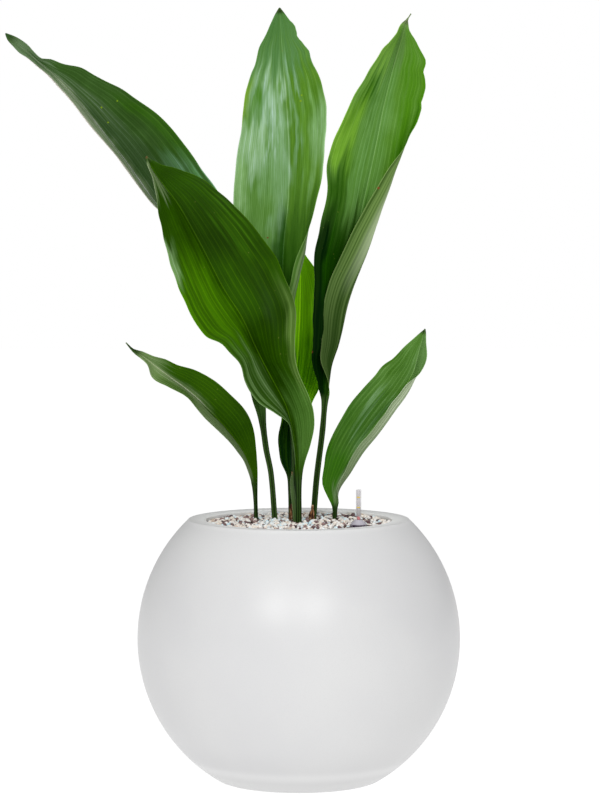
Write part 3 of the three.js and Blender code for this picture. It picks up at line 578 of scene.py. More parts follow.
# Areas of a blade painted over the ones before it. Most are painted light and shade: painted sheen and
# highlights, painted glow where light shines through the blade, and painted shade where other leaves
# cover it; some are the blade's own tone. Each has colour, strength, from and to across (-1 and 1 are
# the margins), from and to along (0 is the foot), how soft the ends are along, and how far streaks
# break it up
LIGHT_AND_TONE_ZONES = {"leaf_front": [
    ((70, 124, 0), 0.78, -1.3, -0.1, 0.5, 0.75, 0.08, 0.6),
    ((24, 50, 0), 0.7, -0.3, 1.3, 0.72, 0.86, 0.05, 0.4),
    ((24, 50, 0), 0.75, 0.3, 0.9, 0.42, 0.74, 0.09, 0.4),
    ((64, 116, 10), 0.4, 0.45, 1.3, 0.7, 0.84, 0.04, 1.0),
    ((92, 124, 54), 0.8, 0.82, 1.3, 0.34, 0.56, 0.05, 0.3),
    ((100, 134, 74), 0.75, -1.3, -0.15, 0.28, 0.5, 0.05, 0.9),
    ((82, 126, 48), 0.8, 0.12, 1.3, 0.2, 0.37, 0.05, 0.4),
    ((122, 144, 96), 0.85, -1.3, -0.12, 0.91, 1.2, 0.03, 0.4),
    ((124, 162, 100), 0.85, -1.3, -0.82, 0.71, 0.79, 0.02, 0.3),
], "leaf_tall": [
    ((98, 144, 68), 0.85, -1.3, -0.02, 0.3, 0.95, 0.06, 0.3),
    ((142, 181, 130), 0.8, -0.95, -0.02, 0.72, 0.9, 0.04, 0.8),
    ((142, 184, 120), 0.7, -1.3, -0.82, 0.56, 0.7, 0.03, 0.3),
    ((168, 200, 176), 0.7, -0.95, -0.06, 0.71, 0.86, 0.04, 1.0),
    ((150, 188, 158), 0.7, 0.05, 0.4, 0.68, 0.9, 0.04, 1.0),
    ((146, 184, 134), 0.8, -1.3, -0.5, 0.7, 0.775, 0.025, 0.4),
    ((138, 178, 130), 0.8, -0.25, 0.0, 0.54, 0.8, 0.04, 0.5),
    ((60, 116, 10), 0.9, -1.3, -0.58, 0.785, 0.865, 0.02, 0.4),
    ((100, 144, 82), 0.85, -0.8, -0.35, 0.775, 0.82, 0.02, 0.2),
    ((128, 170, 116), 0.6, -0.55, -0.2, 0.64, 0.71, 0.03, 0.5),
    ((110, 152, 40), 0.85, -1.3, -0.86, 0.79, 0.87, 0.02, 0.1),
    ((96, 144, 66), 0.8, -1.1, 0.0, 0.3, 0.54, 0.05, 0.5),
    ((26, 74, 0), 1.0, -0.14, 1.3, 0.2, 0.6, 0.04, 0.1),
    ((96, 145, 46), 0.7, 0.0, 0.7, 0.56, 0.85, 0.05, 0.5),
    ((74, 120, 62), 0.85, -1.3, 1.3, 0.88, 1.2, 0.03, 0.3),
    ((138, 182, 118), 0.85, 0.6, 1.3, 0.68, 0.82, 0.04, 0.4),
    ((56, 100, 22), 0.85, 0.15, 1.3, 0.48, 0.64, 0.04, 0.3),
], "leaf_back_left": [
    ((92, 146, 84), 0.8, 0.45, 1.3, 0.38, 0.66, 0.05, 0.7),
    ((96, 120, 82), 0.55, 0.02, 0.4, 0.5, 0.9, 0.06, 0.7),
    ((46, 92, 0), 0.7, 0.7, 1.3, 0.62, 0.8, 0.04, 0.5),
    ((30, 62, 14), 0.6, 0.3, 0.8, 0.5, 0.66, 0.05, 0.5),
    ((150, 168, 130), 0.85, -1.4, 0.0, 0.5, 0.92, 0.04, 0.4),
    ((98, 124, 84), 0.8, -1.4, 1.4, 0.92, 1.2, 0.01, 0.3),
    ((206, 206, 184), 0.9, -1.4, -0.86, 0.42, 0.94, 0.03, 0.1),
    ((36, 66, 22), 0.8, 0.0, 0.42, 0.64, 0.78, 0.04, 0.5),
    ((92, 132, 92), 0.6, 0.4, 0.8, 0.58, 0.68, 0.03, 0.6),
], "leaf_behind": [
    # leaf_behind: painted shade where the leaves in front cover it, near black at the foot
    ((68, 138, 0), 0.9, -1.3, 1.3, 0.1, 0.68, 0.06, 0.6),
    ((4, 40, 6), 1.0, -1.3, 1.3, 0.0, 0.42, 0.04, 0.1),
], "leaf_right": [
    ((98, 144, 74), 0.6, -0.45, 0.25, 0.6, 0.92, 0.05, 0.4),
    ((108, 158, 44), 0.85, -1.3, -0.55, 0.69, 0.84, 0.03, 0.5),
    ((36, 88, 0), 0.85, -0.85, -0.3, 0.79, 0.87, 0.03, 0.6),
    ((116, 164, 60), 0.8, -1.3, -0.3, 0.87, 0.95, 0.03, 0.6),
    ((28, 72, 0), 0.9, -1.3, -0.42, 0.55, 0.68, 0.04, 0.3),
    ((0, 26, 0), 1.0, -1.5, -0.05, 0.0, 0.58, 0.05, 0.05),
    ((14, 52, 0), 0.95, -0.3, 0.9, 0.1, 0.53, 0.06, 0.1),
    ((68, 122, 12), 0.9, 0.4, 1.3, 0.52, 0.93, 0.04, 0.6),
    ((36, 88, 0), 0.8, 0.5, 1.0, 0.5, 0.8, 0.05, 0.9),
    ((22, 64, 0), 0.9, -0.75, 0.15, 0.45, 0.61, 0.04, 0.3),
    ((84, 118, 60), 0.7, -0.3, 0.3, 0.9, 1.2, 0.03, 0.3),
], "leaf_low_left": [
    ((96, 128, 62), 0.85, -1.4, -0.1, 0.62, 1.2, 0.04, 0.5),
    ((126, 150, 98), 0.9, -1.4, -0.12, 0.24, 0.68, 0.05, 0.3),
    ((134, 156, 106), 0.75, -0.35, 0.14, 0.6, 0.96, 0.06, 0.6),
    ((124, 150, 94), 0.8, -1.3, 1.3, 0.84, 1.2, 0.05, 0.4),
], "leaf_low_right": [
    ((120, 160, 104), 0.85, -0.6, 0.3, 0.42, 0.7, 0.05, 1.0),
    ((36, 86, 0), 0.6, -1.3, 0.6, 0.36, 0.66, 0.06, 0.9),
    ((112, 154, 84), 0.8, -0.1, 1.3, 0.78, 1.0, 0.04, 0.3),
    ((56, 102, 10), 0.7, -1.3, -0.45, 0.76, 0.88, 0.03, 0.4),
    ((48, 104, 0), 0.95, -1.3, 0.1, 0.0, 0.36, 0.05, 0.2),
    ((116, 148, 94), 0.9, 0.05, 1.3, 0.3, 0.46, 0.03, 0.2),
    ((112, 142, 90), 0.9, -0.05, 1.3, 0.2, 0.34, 0.03, 0.3),
    ((104, 134, 80), 0.9, -0.3, 1.3, 0.12, 0.22, 0.02, 0.3),
]}

# Each blade's slot, its two greens and what else differs. The three tones of an underside are dark
# stripes, light stripes and a darker one towards the foot, which on leaf_right is near black painted
# shade. A spot has x, z, radius and colour.
UNDERSIDE = ((66, 98, 36), (112, 140, 80), (50, 82, 32))
LOOKS = {
    "leaf_front": {"slot": "leaf_dark", "deep": (28, 58, 0), "fresh": (42, 82, 0), "dry": 0.992},
    "leaf_tall": {
        "slot": "leaf_pale", "deep": (62, 108, 14), "fresh": (88, 134, 36),
        "under": ((78, 118, 44), (132, 164, 100), (68, 108, 36)),
        "specular": 0.08, "rough": 0.33, "lines": 9, "line_share": 0.4, "rib": 0.25, "patch": (2.2, 8),
        "dry_color": (70, 96, 44), "dry": 0.99, "bend": 0.8,
        "spots": [(-33, 571, 1.1, BROWN_SPOT), (2, 716, 1.2, YELLOW_SPOT), (3, 722, 0.9, YELLOW_SPOT)],
    },
    "leaf_back_left": {
        "slot": "leaf_dark", "deep": (34, 64, 12), "fresh": (62, 98, 38),
        "rib": 0.3, "left_wave": 0.25, "swell": 0.26, "dry_color": (60, 96, 50),
        "spots": [
            (-212, 710, 1.1, YELLOW_SPOT), (-205, 694, 1.0, YELLOW_SPOT), (-195, 717, 0.9, YELLOW_SPOT),
        ],
    },
    # leaf_behind's bright greens are painted glow of light shining through the blade
    "leaf_behind": {"slot": "leaf_mid", "deep": (124, 204, 6), "fresh": (134, 212, 18)},
    "leaf_right": {
        "slot": "leaf_mid", "deep": (74, 122, 26), "fresh": (96, 142, 60),
        # Its underside's near black tone towards the foot is painted shade
        "under": ((56, 86, 28), (108, 138, 72), (4, 26, 2)), "under_pale": ((178, 196, 154), 0.5, 0.78),
        "specular": 0.02, "rib": 0.25, "line_share": 0.6, "swell": 0.26,
        "dry": 0.965, "dry_share": 0.8, "dry_color": (150, 168, 118),
        "spots": [
            (13, 460, 1.8, BROWN_SPOT), (13.5, 452, 1.5, BROWN_SPOT), (83.8, 623.6, 1.5, BROWN_SPOT),
        ],
    },
    "leaf_low_left": {
        "slot": "leaf_dark", "deep": (34, 70, 0), "fresh": (48, 88, 0),
        "rib": 0.6, "lines": 7, "left_wave": 0.35, "dry_color": (96, 124, 62),
    },
    "leaf_low_right": {
        "slot": "leaf_mid", "deep": (72, 118, 32), "fresh": (94, 138, 62),
        "under": ((92, 120, 66), (184, 198, 166), (88, 116, 64)),
        "under_lines": 40, "rib": 0.3, "lines": 8, "patch": (1.2, 7), "dry_color": (70, 104, 46),
    },
}


class LeafPaint(Paint):
    """A blade's material, with the values that its mesh carries at each point."""

    def __init__(self, name, seed):
        self.look = LOOKS[name]
        super().__init__(name + "_skin", self.look.get("specular", 0.03))
        self.light_and_tone_rows = LIGHT_AND_TONE_ZONES[name]
        self.seed = seed
        flat = self.node("UVMap", {}, uv_map="leaf").outputs["UV"]
        self.along, self.across, _ = self.node("SeparateXYZ", {0: flat}).outputs
        self.under, self.stalk, self.rib, self.edge, self.place = map(
            self.attribute, ("under", "stalk", "rib", "edge", "place"))

    def streaks(self, length, width, offset, detail=2.0):
        x = self.times(self.along, length)
        y = self.times(self.across, width)
        return self.noise(self.vector(x, y, self.seed + offset), detail)

    def comb(self, count, sharp, offset):
        """Thin lines lengthwise, evenly spread over the blade with a little drift."""
        drift = self.times(self.streaks(0.25, 3, offset, 1), 4.0)
        turns = self.times(self.across, 2 * math.pi * count)
        return self.step(self.math("SINE", self.math("ADD", turns, drift)), sharp, 1.0)

    def shaken(self, value, pattern, reach):
        return self.math("ADD", value, self.times(self.math("SUBTRACT", pattern, 0.5), reach))

    def between(self, value, start, end, soft):
        into = self.step(value, start - soft, start + soft)
        return self.times(into, self.fall(value, end - soft, end + soft))

    # Zones of painted sheen, highlights, glow and shade, and some of the blade's own tone
    def zones(self, color):
        across = self.shaken(self.across, self.streaks(2.2, 2, 83.0), 0.5)
        along = self.shaken(self.place, self.streaks(0.8, 5, 91.0), 0.22)
        length, width = self.look.get("patch", (0.6, 9))
        for tone, strength, v_from, v_to, f_from, f_to, soft, breaks in self.light_and_tone_rows:
            patches = self.streaks(length, width, 21 + 3 * v_from + f_from, 3)
            broken = self.step(patches, 0.4, 0.62, 1.0 - breaks, 1.0)
            inside = self.between(across, v_from, v_to, 0.1)
            zone = self.times(inside, self.between(along, f_from, f_to, soft), broken, strength)
            color = self.mix(zone, color, tone)
        return color

    def upper_side(self, veins, blotches):
        """Blotches, bands and zones of painted light and shade and of own tone, then dark veins, light
        lines and the midrib over them.
        """
        deep, fresh = self.look["deep"], self.look["fresh"]
        bands = self.streaks(0.4, 7, 5.1, 3)
        color = self.mix(self.step(blotches, 0.25, 0.75), deep, fresh)
        color = self.zones(self.mix(self.step(bands, 0.4, 0.75, 0.0, 0.35), color, deep))
        color = self.tint(self.step(veins, 0.4, 0.7, 0.0, 0.5), color, VEIN_SHADE)
        color = self.tint(self.step(self.streaks(6, 24, 55.0), 0.45, 0.7, 0.0, 0.5), color, VEIN_SHADE)
        lines, share = self.look.get("lines", 11), self.look.get("line_share", 1.0)
        color = self.tint(self.times(self.comb(3.3 * lines, 0.2, 14.2), 0.3), color, VEIN_LIGHT)
        lit = self.step(bands, 0.3, 0.7, 0.9 * share, 0.3 * share)
        color = self.tint(self.times(self.comb(lines, 0.55, 9.7), lit), color, VEIN_LIGHT)
        on_rib = self.fall(self.rib, 0.3, 1.1, self.look.get("rib", 0.7))
        on_rib = self.times(on_rib, self.fall(self.stalk, 0.2, 0.9))
        return self.tint(on_rib, color, RIB_LIGHT)

    def under_side(self):
        """Stripes that darken towards the foot, on one leaf to near black as painted shade. One leaf is
        pale beside its fold.
        """
        dark, light, low = self.look.get("under", UNDERSIDE)
        stripes = self.step(self.streaks(0.3, self.look.get("under_lines", 15), 40.3), 0.35, 0.65)
        color = self.mix(stripes, dark, light)
        # Darker towards the foot; where it goes near black this is painted shade
        color = self.mix(self.fall(self.place, 0.3, 0.75, 0.62), color, low)
        if "under_pale" in self.look:
            tone, start, end = self.look["under_pale"]
            inner = self.step(self.across, 0.35, 0.5, 0.0, 0.85)
            outer = self.fall(self.across, start, end)
            near_fold = self.times(inner, outer, self.step(self.place, 0.44, 0.62))
            color = self.mix(near_fold, color, tone)
        return color

    def spots(self, color):
        x, _, z = self.point()
        flat = self.vector(x, 0, z)
        for x, z, radius, tone in self.look.get("spots", ()):
            middle = (x * MM, 0, z * MM)
            away = self.node("VectorMath", {0: flat, 1: middle}, operation="DISTANCE").outputs["Value"]
            inside = self.fall(away, 0.6 * radius * MM, 1.2 * radius * MM, 0.9)
            color = self.mix(inside, color, tone)
        return color


def leaf_material(name, seed):
    """The upper side and underside, the stalk, a thin light margin, specks, spots and a dry tip."""
    paint = LeafPaint(name, seed)
    look = paint.look
    veins = paint.streaks(0.35, 44, 0.3)
    blotches = paint.grains(15, 3)
    color = paint.mix(paint.under, paint.upper_side(veins, blotches), paint.under_side())
    stripes = paint.step(paint.streaks(0.4, 4, 61.7), 0.38, 0.62)
    stalk_color = paint.mix(stripes, (22, 42, 10), (60, 88, 38))
    color = paint.mix(paint.step(paint.stalk, 0.55, 1.0), color, stalk_color)
    on_margin = paint.fall(paint.edge, 0.1, 0.8, 0.8)
    on_margin = paint.times(on_margin, paint.fall(paint.stalk, 0.3, 0.8))
    color = paint.tint(on_margin, color, MARGIN_LIGHT)
    specks = paint.step(paint.grains(260, 1), 0.76, 0.80)
    specks = paint.times(specks, paint.step(blotches, 0.5, 0.6, 0.0, 0.5))
    color = paint.spots(paint.mix(specks, color, (108, 118, 50)))
    dry = paint.times(paint.step(paint.place, look.get("dry", 0.985), 1.0), look.get("dry_share", 0.85))
    color = paint.mix(dry, color, look.get("dry_color", DRY_TIP))

    least = look.get("rough", 0.34)
    rough = paint.step(veins, 0.3, 0.7, least, least + 0.1)
    rough = paint.math("ADD", rough, paint.times(paint.under, 0.12))
    height = paint.math("ADD", paint.times(veins, 0.8), paint.times(paint.grains(1500, 1), 0.02))
    height = paint.math("ADD", height, paint.times(paint.streaks(0.2, 90, 77, 1), 0.12))
    paint.bump(height, 0.35, 0.0006)
    return paint.finish(color, rough)


def scale_material():
    """Dry papery scale: brown lengthwise fibres, paler at the edge, with light and dark patches."""
    paint = Paint("dry_scale", 0.2)
    fibres = paint.fibres(9, 5, 4)
    color = paint.mix(paint.step(fibres, 0.42, 0.6), (62, 34, 22), (170, 118, 76))
    color = paint.mix(paint.fall(paint.attribute("edge"), 0.2, 0.9, 0.5), color, (196, 160, 118))
    patches = paint.grains((330, 330, 150))
    color = paint.mix(paint.step(patches, 0.52, 0.64), color, (206, 172, 134))
    color = paint.mix(paint.fall(patches, 0.38, 0.47, 0.9), color, (48, 24, 16))
    paint.bump(fibres, 0.5, 0.0006)
    return paint.finish_by(fibres, color, 0.75, 0.9)


def shoot_material():
    """Pale green stripes with a brown tip."""
    paint = Paint("rolled_shoot", 0.3)
    stripes = paint.fibres(1.5, 5, 2)
    color = paint.mix(paint.step(stripes, 0.35, 0.65), (50, 80, 30), (104, 134, 72))
    color = paint.mix(paint.step(paint.attribute("place"), 0.93, 1.0, 0.0, 0.8), color, (140, 100, 60))
    paint.bump(stripes, 0.3, 0.0005)
    return paint.finish_by(stripes, color, 0.45, 0.55)


LEAF_FORM = {
    "wave": 1.3, "ripple": 0.5, "pleat": 0.09, "thick": 0.56, "margin": 0.3, "rib": 1, "channel": 0.5,
    "groove": 0.35, "swell": 0.1,
}
SHOOT_FORM = {
    **LEAF_FORM, "stalk_depth": 2, "rib": 0.8, "wave": 0, "ripple": 0, "channel": 0.35, "step": 2,
}
SCALE_FORM = {
    "swell": 0, "stalk_depth": 0, "rib": 0, "wave": 0.5, "ripple": 0.4, "pleat": 0.1, "thick": 0.7,
    "margin": 0.4, "channel": 0, "groove": 0, "step": 1, "across": 10,
}
SHOOT_SEED = 31
FIRST_SCALE_SEED = 40


def add_leaves():
    for seed, (name, stations) in enumerate(LEAVES.items()):
        look = LOOKS[name]
        own = {key: look[key] for key in ("swell", "left_wave", "bend") if key in look}
        form = {**LEAF_FORM, **own, "stalk_depth": 0.9 * stations[0][3], "nicks": NICKS.get(name, ())}
        mesh = blade(name + "_blade", stations, form, seed)
        add_piece(name + "_blade", mesh, leaf_material(name, seed), look["slot"], name)
    mesh = blade("shoot_rolled", SHOOT, SHOOT_FORM, SHOOT_SEED)
    add_piece("shoot_rolled", mesh, shoot_material(), "shoot", "young_shoot")
    dry = scale_material()
    for seed, (name, stations) in enumerate(SHEATHS.items(), FIRST_SCALE_SEED):
        mesh = blade(name + "_scale", stations, {**SCALE_FORM, "nicks": NICKS[name]}, seed)
        add_piece(name + "_scale", mesh, dry, "sheath", name)


# Turned pieces

def lathe_mesh(name, profile, sides, center=(0, 0)):
    """A turned closed skin. A point of the profile on the axis becomes one vertex."""
    turns = 2 * math.pi * np.arange(sides) / sides
    points = []
    rings = []
    for radius, level in profile:
        if radius == 0:
            rings.append([len(points)] * sides)
            points.append((*center, level))
        else:
            rings.append(list(range(len(points), len(points) + sides)))
            points += [(center[0] + radius * math.cos(t), center[1] + radius * math.sin(t), level)
                       for t in turns]
    faces = []
    for first, second in zip(rings, rings[1:]):
        for i in range(sides):
            j = (i + 1) % sides
            corners = dict.fromkeys((first[i], first[j], second[j], second[i]))
            if len(corners) > 2:
                faces.append(tuple(corners))
    return make_mesh(name, points, faces)


def ellipsoid_radius(z, inset):
    reach = (z - POT_EQUATOR) / (POT_HALF_HEIGHT - inset)
    return (POT_RADIUS - inset) * math.sqrt(1 - reach * reach)


def arc(middle, radius, start, end, steps):
    """Points of a profile on a round edge."""
    turns = [math.radians(start + (end - start) * i / steps) for i in range(steps + 1)]
    return [(middle[0] + radius * math.cos(t), middle[1] + radius * math.sin(t)) for t in turns]


def pot_profile():
    """Out along the base, up the outside, over the crest and the lip, and down the hollow."""
    base = ellipsoid_radius(0, 0) - BASE_EDGE
    lowest = math.asin((BASE_EDGE - POT_EQUATOR) / POT_HALF_HEIGHT)
    highest = math.asin((POT_HEIGHT - CREST_EDGE - POT_EQUATOR) / POT_HALF_HEIGHT)
    profile = [(0, 0), (base - 12, 0), (base - 1, 0), (base, 0.1)]
    for i in range(POT_STEPS + 1):
        turn = lowest + (highest - lowest) * i / POT_STEPS
        profile.append((POT_RADIUS * math.cos(turn), POT_EQUATOR + POT_HALF_HEIGHT * math.sin(turn)))
    crest = profile[-1][0]
    top = POT_HEIGHT - 0.05
    profile += [(crest - 0.5, POT_HEIGHT - 0.35), (crest - 1.2, top), (crest - CREST_WIDTH, top)]
    rim = OPENING_RADIUS + CREST_EDGE
    profile += [(rim + (crest - CREST_WIDTH - rim) * (1 - i / 6), top - (LIP_DROP - 0.15) * i / 6)
                for i in range(1, 6)]
    profile += arc((rim, POT_HEIGHT - LIP_DROP - CREST_EDGE), CREST_EDGE, 90, 180, 5)
    profile.append((OPENING_RADIUS, POT_HEIGHT - LIP_DROP - LIP_THICK))
    profile += [(ellipsoid_radius(z, POT_WALL), z) for z in POT_INNER_LEVELS]
    return [*profile, (0, POT_FLOOR)]


# Painted light in the planter's hollow, which leaves and stones shade: distance from the axis up to which
# it is full, and where it ends
HOLLOW_PAINTED_LIGHT = (0.0984, 0.122)

# Painted shade down the planter towards its foot, strongest at the edge of the foot: height up to which
# each is full, where it ends, and its factor
FOOT_PAINTED_SHADE = ((0.03, 0.2, 0.955), (0.01, 0.06, 0.93), (0.011, 0.0235, 0.715))


def pot_material():
    """Matt light grey composite: a faint fine grain, faint clouds, a soft sheen, painted light in the
    hollow and painted shade towards the foot.
    """
    paint = Paint("matt_composite", 0.5)
    clouds = paint.grains(7, 4)
    grain = paint.grains(900)
    color = paint.mix(paint.step(clouds, 0.3, 0.7), (211, 211, 212), (216, 216, 216))
    color = paint.mix(paint.step(grain, 0.45, 0.75, 0.0, 0.25), color, (204, 204, 205))
    x, y, z = paint.point()
    off_axis = paint.node("VectorMath", {0: paint.vector(x, y, 0)}, operation="LENGTH").outputs["Value"]
    # Painted light: the hollow lighter than the outside
    color = paint.mix(paint.fall(off_axis, *HOLLOW_PAINTED_LIGHT, 0.95), color, (252, 252, 252))
    # Painted shade: darker towards the foot
    for full, end, tone in FOOT_PAINTED_SHADE:
        color = paint.tint(paint.fall(z, full, end), color, (tone, tone, tone))
    pits = paint.step(paint.grains(420, 1), 0.68, 0.8)
    paint.bump(paint.math("SUBTRACT", grain, pits), 0.12, 0.0004)
    return paint.finish_by(clouds, color, 0.36, 0.4)


def plastic_material(name, light, dark, roughness, alpha=1.0):
    """Moulded plastic with faint mottling, see-through where alpha is under 1."""
    return two_tone(
        name, 0.5, (300, 300, 120), 2, (0.3, 0.7), light, dark, (0.04, 0.0002),
        (roughness, roughness + 0.08), Alpha=alpha)


def collar_material():
    """Clear grey-lilac plastic, dark purple low down."""
    paint = Paint("collar_plastic", 0.5, Alpha=0.92)
    foot = COLLAR_FOOT * MM
    low = paint.step(paint.point()[2], foot + 0.0028, foot + 0.004)
    color = paint.mix(low, (62, 48, 68), (190, 185, 196))
    mottle = paint.grains(220)
    color = paint.mix(paint.step(mottle, 0.5, 0.7, 0.0, 0.3), color, (226, 222, 232))
    paint.bump(mottle, 0.1, 0.0003)
    return paint.finish_by(mottle, color, 0.18, 0.3)


def add_gauge_turned(name, profile, material, slot, *nodes):
    mesh = lathe_mesh(name, profile, GAUGE_SIDES, (GAUGE_X, GAUGE_Y))
    add_piece(name, mesh, material, slot, *nodes)


def add_gauge():
    """The neck stands for the whole tube. The shaft, a piece of its own, is clearer."""
    shoulder = SHAFT_TOP + SHAFT_SHOULDER
    bore = NECK_RADIUS - NECK_WALL
    neck = [
        (0, NECK_TOP - NECK_WALL), (bore, NECK_TOP - NECK_WALL), (bore, WINDOW_TOP),
        (NECK_RADIUS, WINDOW_TOP), (NECK_RADIUS, NECK_TOP - 0.6), (NECK_RADIUS - 0.2, NECK_TOP - 0.15),
        (NECK_RADIUS - 0.6, NECK_TOP), (0, NECK_TOP),
    ]
    grey = ((220, 217, 220), (214, 211, 214))
    milky = plastic_material("milky_plastic", *grey, 0.4, 0.42)
    add_gauge_turned("gauge_neck", neck, milky, "gauge_clear", "gauge_tube")
    window = WINDOW_TOP - 0.05
    inside = SHAFT_RADIUS - NECK_WALL
    shaft = [
        (bore, window), (bore, shoulder), (inside, SHAFT_TOP - NECK_WALL), (inside, SHAFT_FOOT),
        (SHAFT_RADIUS, SHAFT_FOOT), (SHAFT_RADIUS, SHAFT_TOP), (NECK_RADIUS, shoulder),
        (NECK_RADIUS, window), (bore, window),
    ]
    clear = plastic_material("clear_plastic", *grey, 0.3, 0.16)
    add_gauge_turned("gauge_shaft", shaft, clear, "gauge_clear")

    float_top = FLOAT_FOOT + FLOAT_HEIGHT
    needle = [
        (0, FLOAT_FOOT), (FLOAT_RADIUS - 0.8, FLOAT_FOOT), (FLOAT_RADIUS, FLOAT_FOOT + 0.8),
        (FLOAT_RADIUS, float_top), (NEEDLE_RADIUS, float_top + FLOAT_RADIUS),
        (NEEDLE_RADIUS, NEEDLE_TOP - 3.2), (BEAD_RADIUS, NEEDLE_TOP - 2.6),
        (BEAD_RADIUS, NEEDLE_TOP - 0.6), (0.7 * BEAD_RADIUS, NEEDLE_TOP - 0.15), (0, NEEDLE_TOP),
    ]
    red = plastic_material("red_plastic", (240, 24, 0), (224, 16, 0), 0.35)
    add_gauge_turned("gauge_needle", needle, red, "gauge_red", "gauge_float")

    inner = NECK_RADIUS + COLLAR_GAP
    outer = inner + COLLAR_WALL
    top = COLLAR_FOOT + COLLAR_RISE
    collar = [
        (inner, top - COLLAR_WALL), (COLLAR_RADIUS - COLLAR_WALL, COLLAR_FOOT),
        (COLLAR_RADIUS - 0.2, COLLAR_FOOT), (COLLAR_RADIUS, COLLAR_FOOT + 0.3),
        (COLLAR_RADIUS, COLLAR_FOOT + 2.6), (COLLAR_RADIUS - 0.3, COLLAR_FOOT + 3.2),
        (0.9 * COLLAR_RADIUS, COLLAR_FOOT + 4.1), (0.77 * COLLAR_RADIUS, COLLAR_FOOT + 5.4),
        (0.62 * COLLAR_RADIUS, COLLAR_FOOT + 6.5), (outer + 0.3, top - 0.9), (outer - 0.1, top - 0.2),
        (outer - 0.5, top), (inner, top), (inner, top - COLLAR_WALL),
    ]
    add_gauge_turned("gauge_cone", collar, collar_material(), "gauge_collar", "gauge_collar")

    marks = [mark_points(level) for level in MARK_LEVELS]
    points = np.concatenate([p for p, _ in marks])
    faces = [tuple(v + n * len(p) for v in face) for n, (p, shape) in enumerate(marks) for face in shape]
    yellow = plastic_material("yellow_print", (236, 208, 100), (224, 190, 80), 0.4)
    add_piece("gauge_marks", make_mesh("gauge_marks", points, faces), yellow, "gauge_clear")


def mark_points(level):
    """A short raised bar round the front of the neck."""
    low, high = (level - MARK_HALF_HEIGHT, level + MARK_HALF_HEIGHT)
    inner, outer = (NECK_RADIUS + depth for depth in MARK_DEPTHS)
    points = []
    for i in range(MARK_STEPS + 1):
        turn = math.radians(MARK_START + MARK_TURN * i / MARK_STEPS)
        for reach, z in ((inner, low), (outer, low), (outer, high), (inner, high)):
            points.append((GAUGE_X + reach * math.cos(turn), GAUGE_Y + reach * math.sin(turn), z))
    last = 4 * MARK_STEPS
    faces = [(0, 1, 2, 3), (last + 3, last + 2, last + 1, last)]
    for i in range(MARK_STEPS):
        for k in range(4):
            a = 4 * i + k
            b = 4 * i + (k + 1) % 4
            faces.append((a, a + 4, b + 4, b))
    return points, faces


# Granulate

def stone_shapes(random):
    """Chunky pebbles: spheres pressed flat on several random planes, with a little noise."""
    bpy.ops.mesh.primitive_ico_sphere_add(subdivisions=2, radius=1)
    seed_object = bpy.context.object
    sphere = np.array([v.co[:] for v in seed_object.data.vertices])
    faces = np.array([p.vertices[:] for p in seed_object.data.polygons])
    bpy.data.objects.remove(seed_object, do_unlink=True)
    shapes = []
    for _ in range(STONE_SHAPES):
        shape = sphere * (1 + 0.06 * random.standard_normal((len(sphere), 1)))
        for _ in range(STONE_CUTS):
            plane = unit(random.standard_normal(3))
            depth = random.uniform(0.62, 0.9)
            over = np.clip(shape @ plane - depth, 0, None)
            shape = shape - 0.9 * over[:, None] * plane
        shape *= random.uniform(0.75, 1.15, 3)
        shapes.append(shape / np.abs(shape).max())
    return shapes, faces


def random_rotation(random):
    axes, _ = np.linalg.qr(random.standard_normal((3, 3)))
    if np.linalg.det(axes) < 0:
        axes[:, 0] = -axes[:, 0]
    return axes


def stone_places(random, fill, keep_out):
    """Seats for the stones on the filling, each with its size: one layer, and some on top."""
    row_spacing = ROW_SHARE * STONE_SPACING
    half = int(OPENING_RADIUS / STONE_SPACING) + 1
    half_rows = int(OPENING_RADIUS / row_spacing) + 1
    seats = []
    for row in range(-half_rows, half_rows + 1):
        for column in range(-half, half + 1):
            x = (column + 0.5 * (row % 2)) * STONE_SPACING + random.uniform(-STONE_SHIFT, STONE_SHIFT)
            y = row * STONE_SPACING * ROW_SHARE + random.uniform(-STONE_SHIFT, STONE_SHIFT)
            size = random.uniform(*STONE_SIZES)
            upper = random.random() < UPPER_STONES
            if math.hypot(x, y) > OPENING_RADIUS - 0.75 * size - 0.4:
                continue
            if any(math.hypot(x - px, y - py) < reach + 0.8 * size for px, py, reach in keep_out):
                continue
            hit = fill.ray_cast(Vector((x * MM, y * MM, 0.3)), Vector((0, 0, -1)))[0]
            if hit is None or hit.z / MM < LOWEST_SEAT:
                continue
            if upper:
                rise = random.uniform(*UPPER_RISE) - UPPER_SLOPE * (y + OPENING_RADIUS)
            else:
                rise = random.uniform(*LOWER_RISE)
            if math.hypot(x - GAUGE_X, y - GAUGE_Y) < COLLAR_RADIUS + CONE_CLEAR:
                rise = min(rise, CONE_RISE)
            seats.append((x, y, hit.z / MM + rise, size))
    return seats


def stone_keep_out():
    """Stalks, shoot, scales and gauge where they leave the gravel: x, y, radius."""
    feet = [rows[1] for rows in (*LEAVES.values(), SHOOT, *SHEATHS.values())]
    gauge = (GAUGE_X, GAUGE_Y, COLLAR_RADIUS + 0.1)
    return [*((x, y, width + 0.4) for x, y, _, width, *_ in feet), gauge]


# Share of the stones, and their middle, light and dark colour
STONE_KINDS = {
    "stones_cream": (0.54, (248, 238, 226), (255, 253, 250), (206, 184, 166)),
    "stones_ice": (0.22, (224, 247, 255), (251, 255, 255), (192, 226, 240)),
    "stones_brown": (0.24, (106, 80, 84), (158, 132, 128), (60, 40, 48)),
}


def stone_material(name, middle, light, dark):
    """Porous mineral: each stone its own tone, with pits and grains."""
    paint = Paint(name + "_mineral", 0.25)
    tone = paint.attribute("tone")
    grains = paint.grains(700, 3)
    color = paint.mix(paint.step(tone, 0.0, 1.0), middle, light)
    color = paint.mix(paint.step(tone, 0.18, 0.0, 0.0, 0.8), color, dark)
    color = paint.mix(paint.step(grains, 0.5, 0.72, 0.0, 0.5), color, dark)
    paint.bump(grains, 0.5, 0.0008)
    return paint.finish_by(grains, color, 0.8, 0.92)


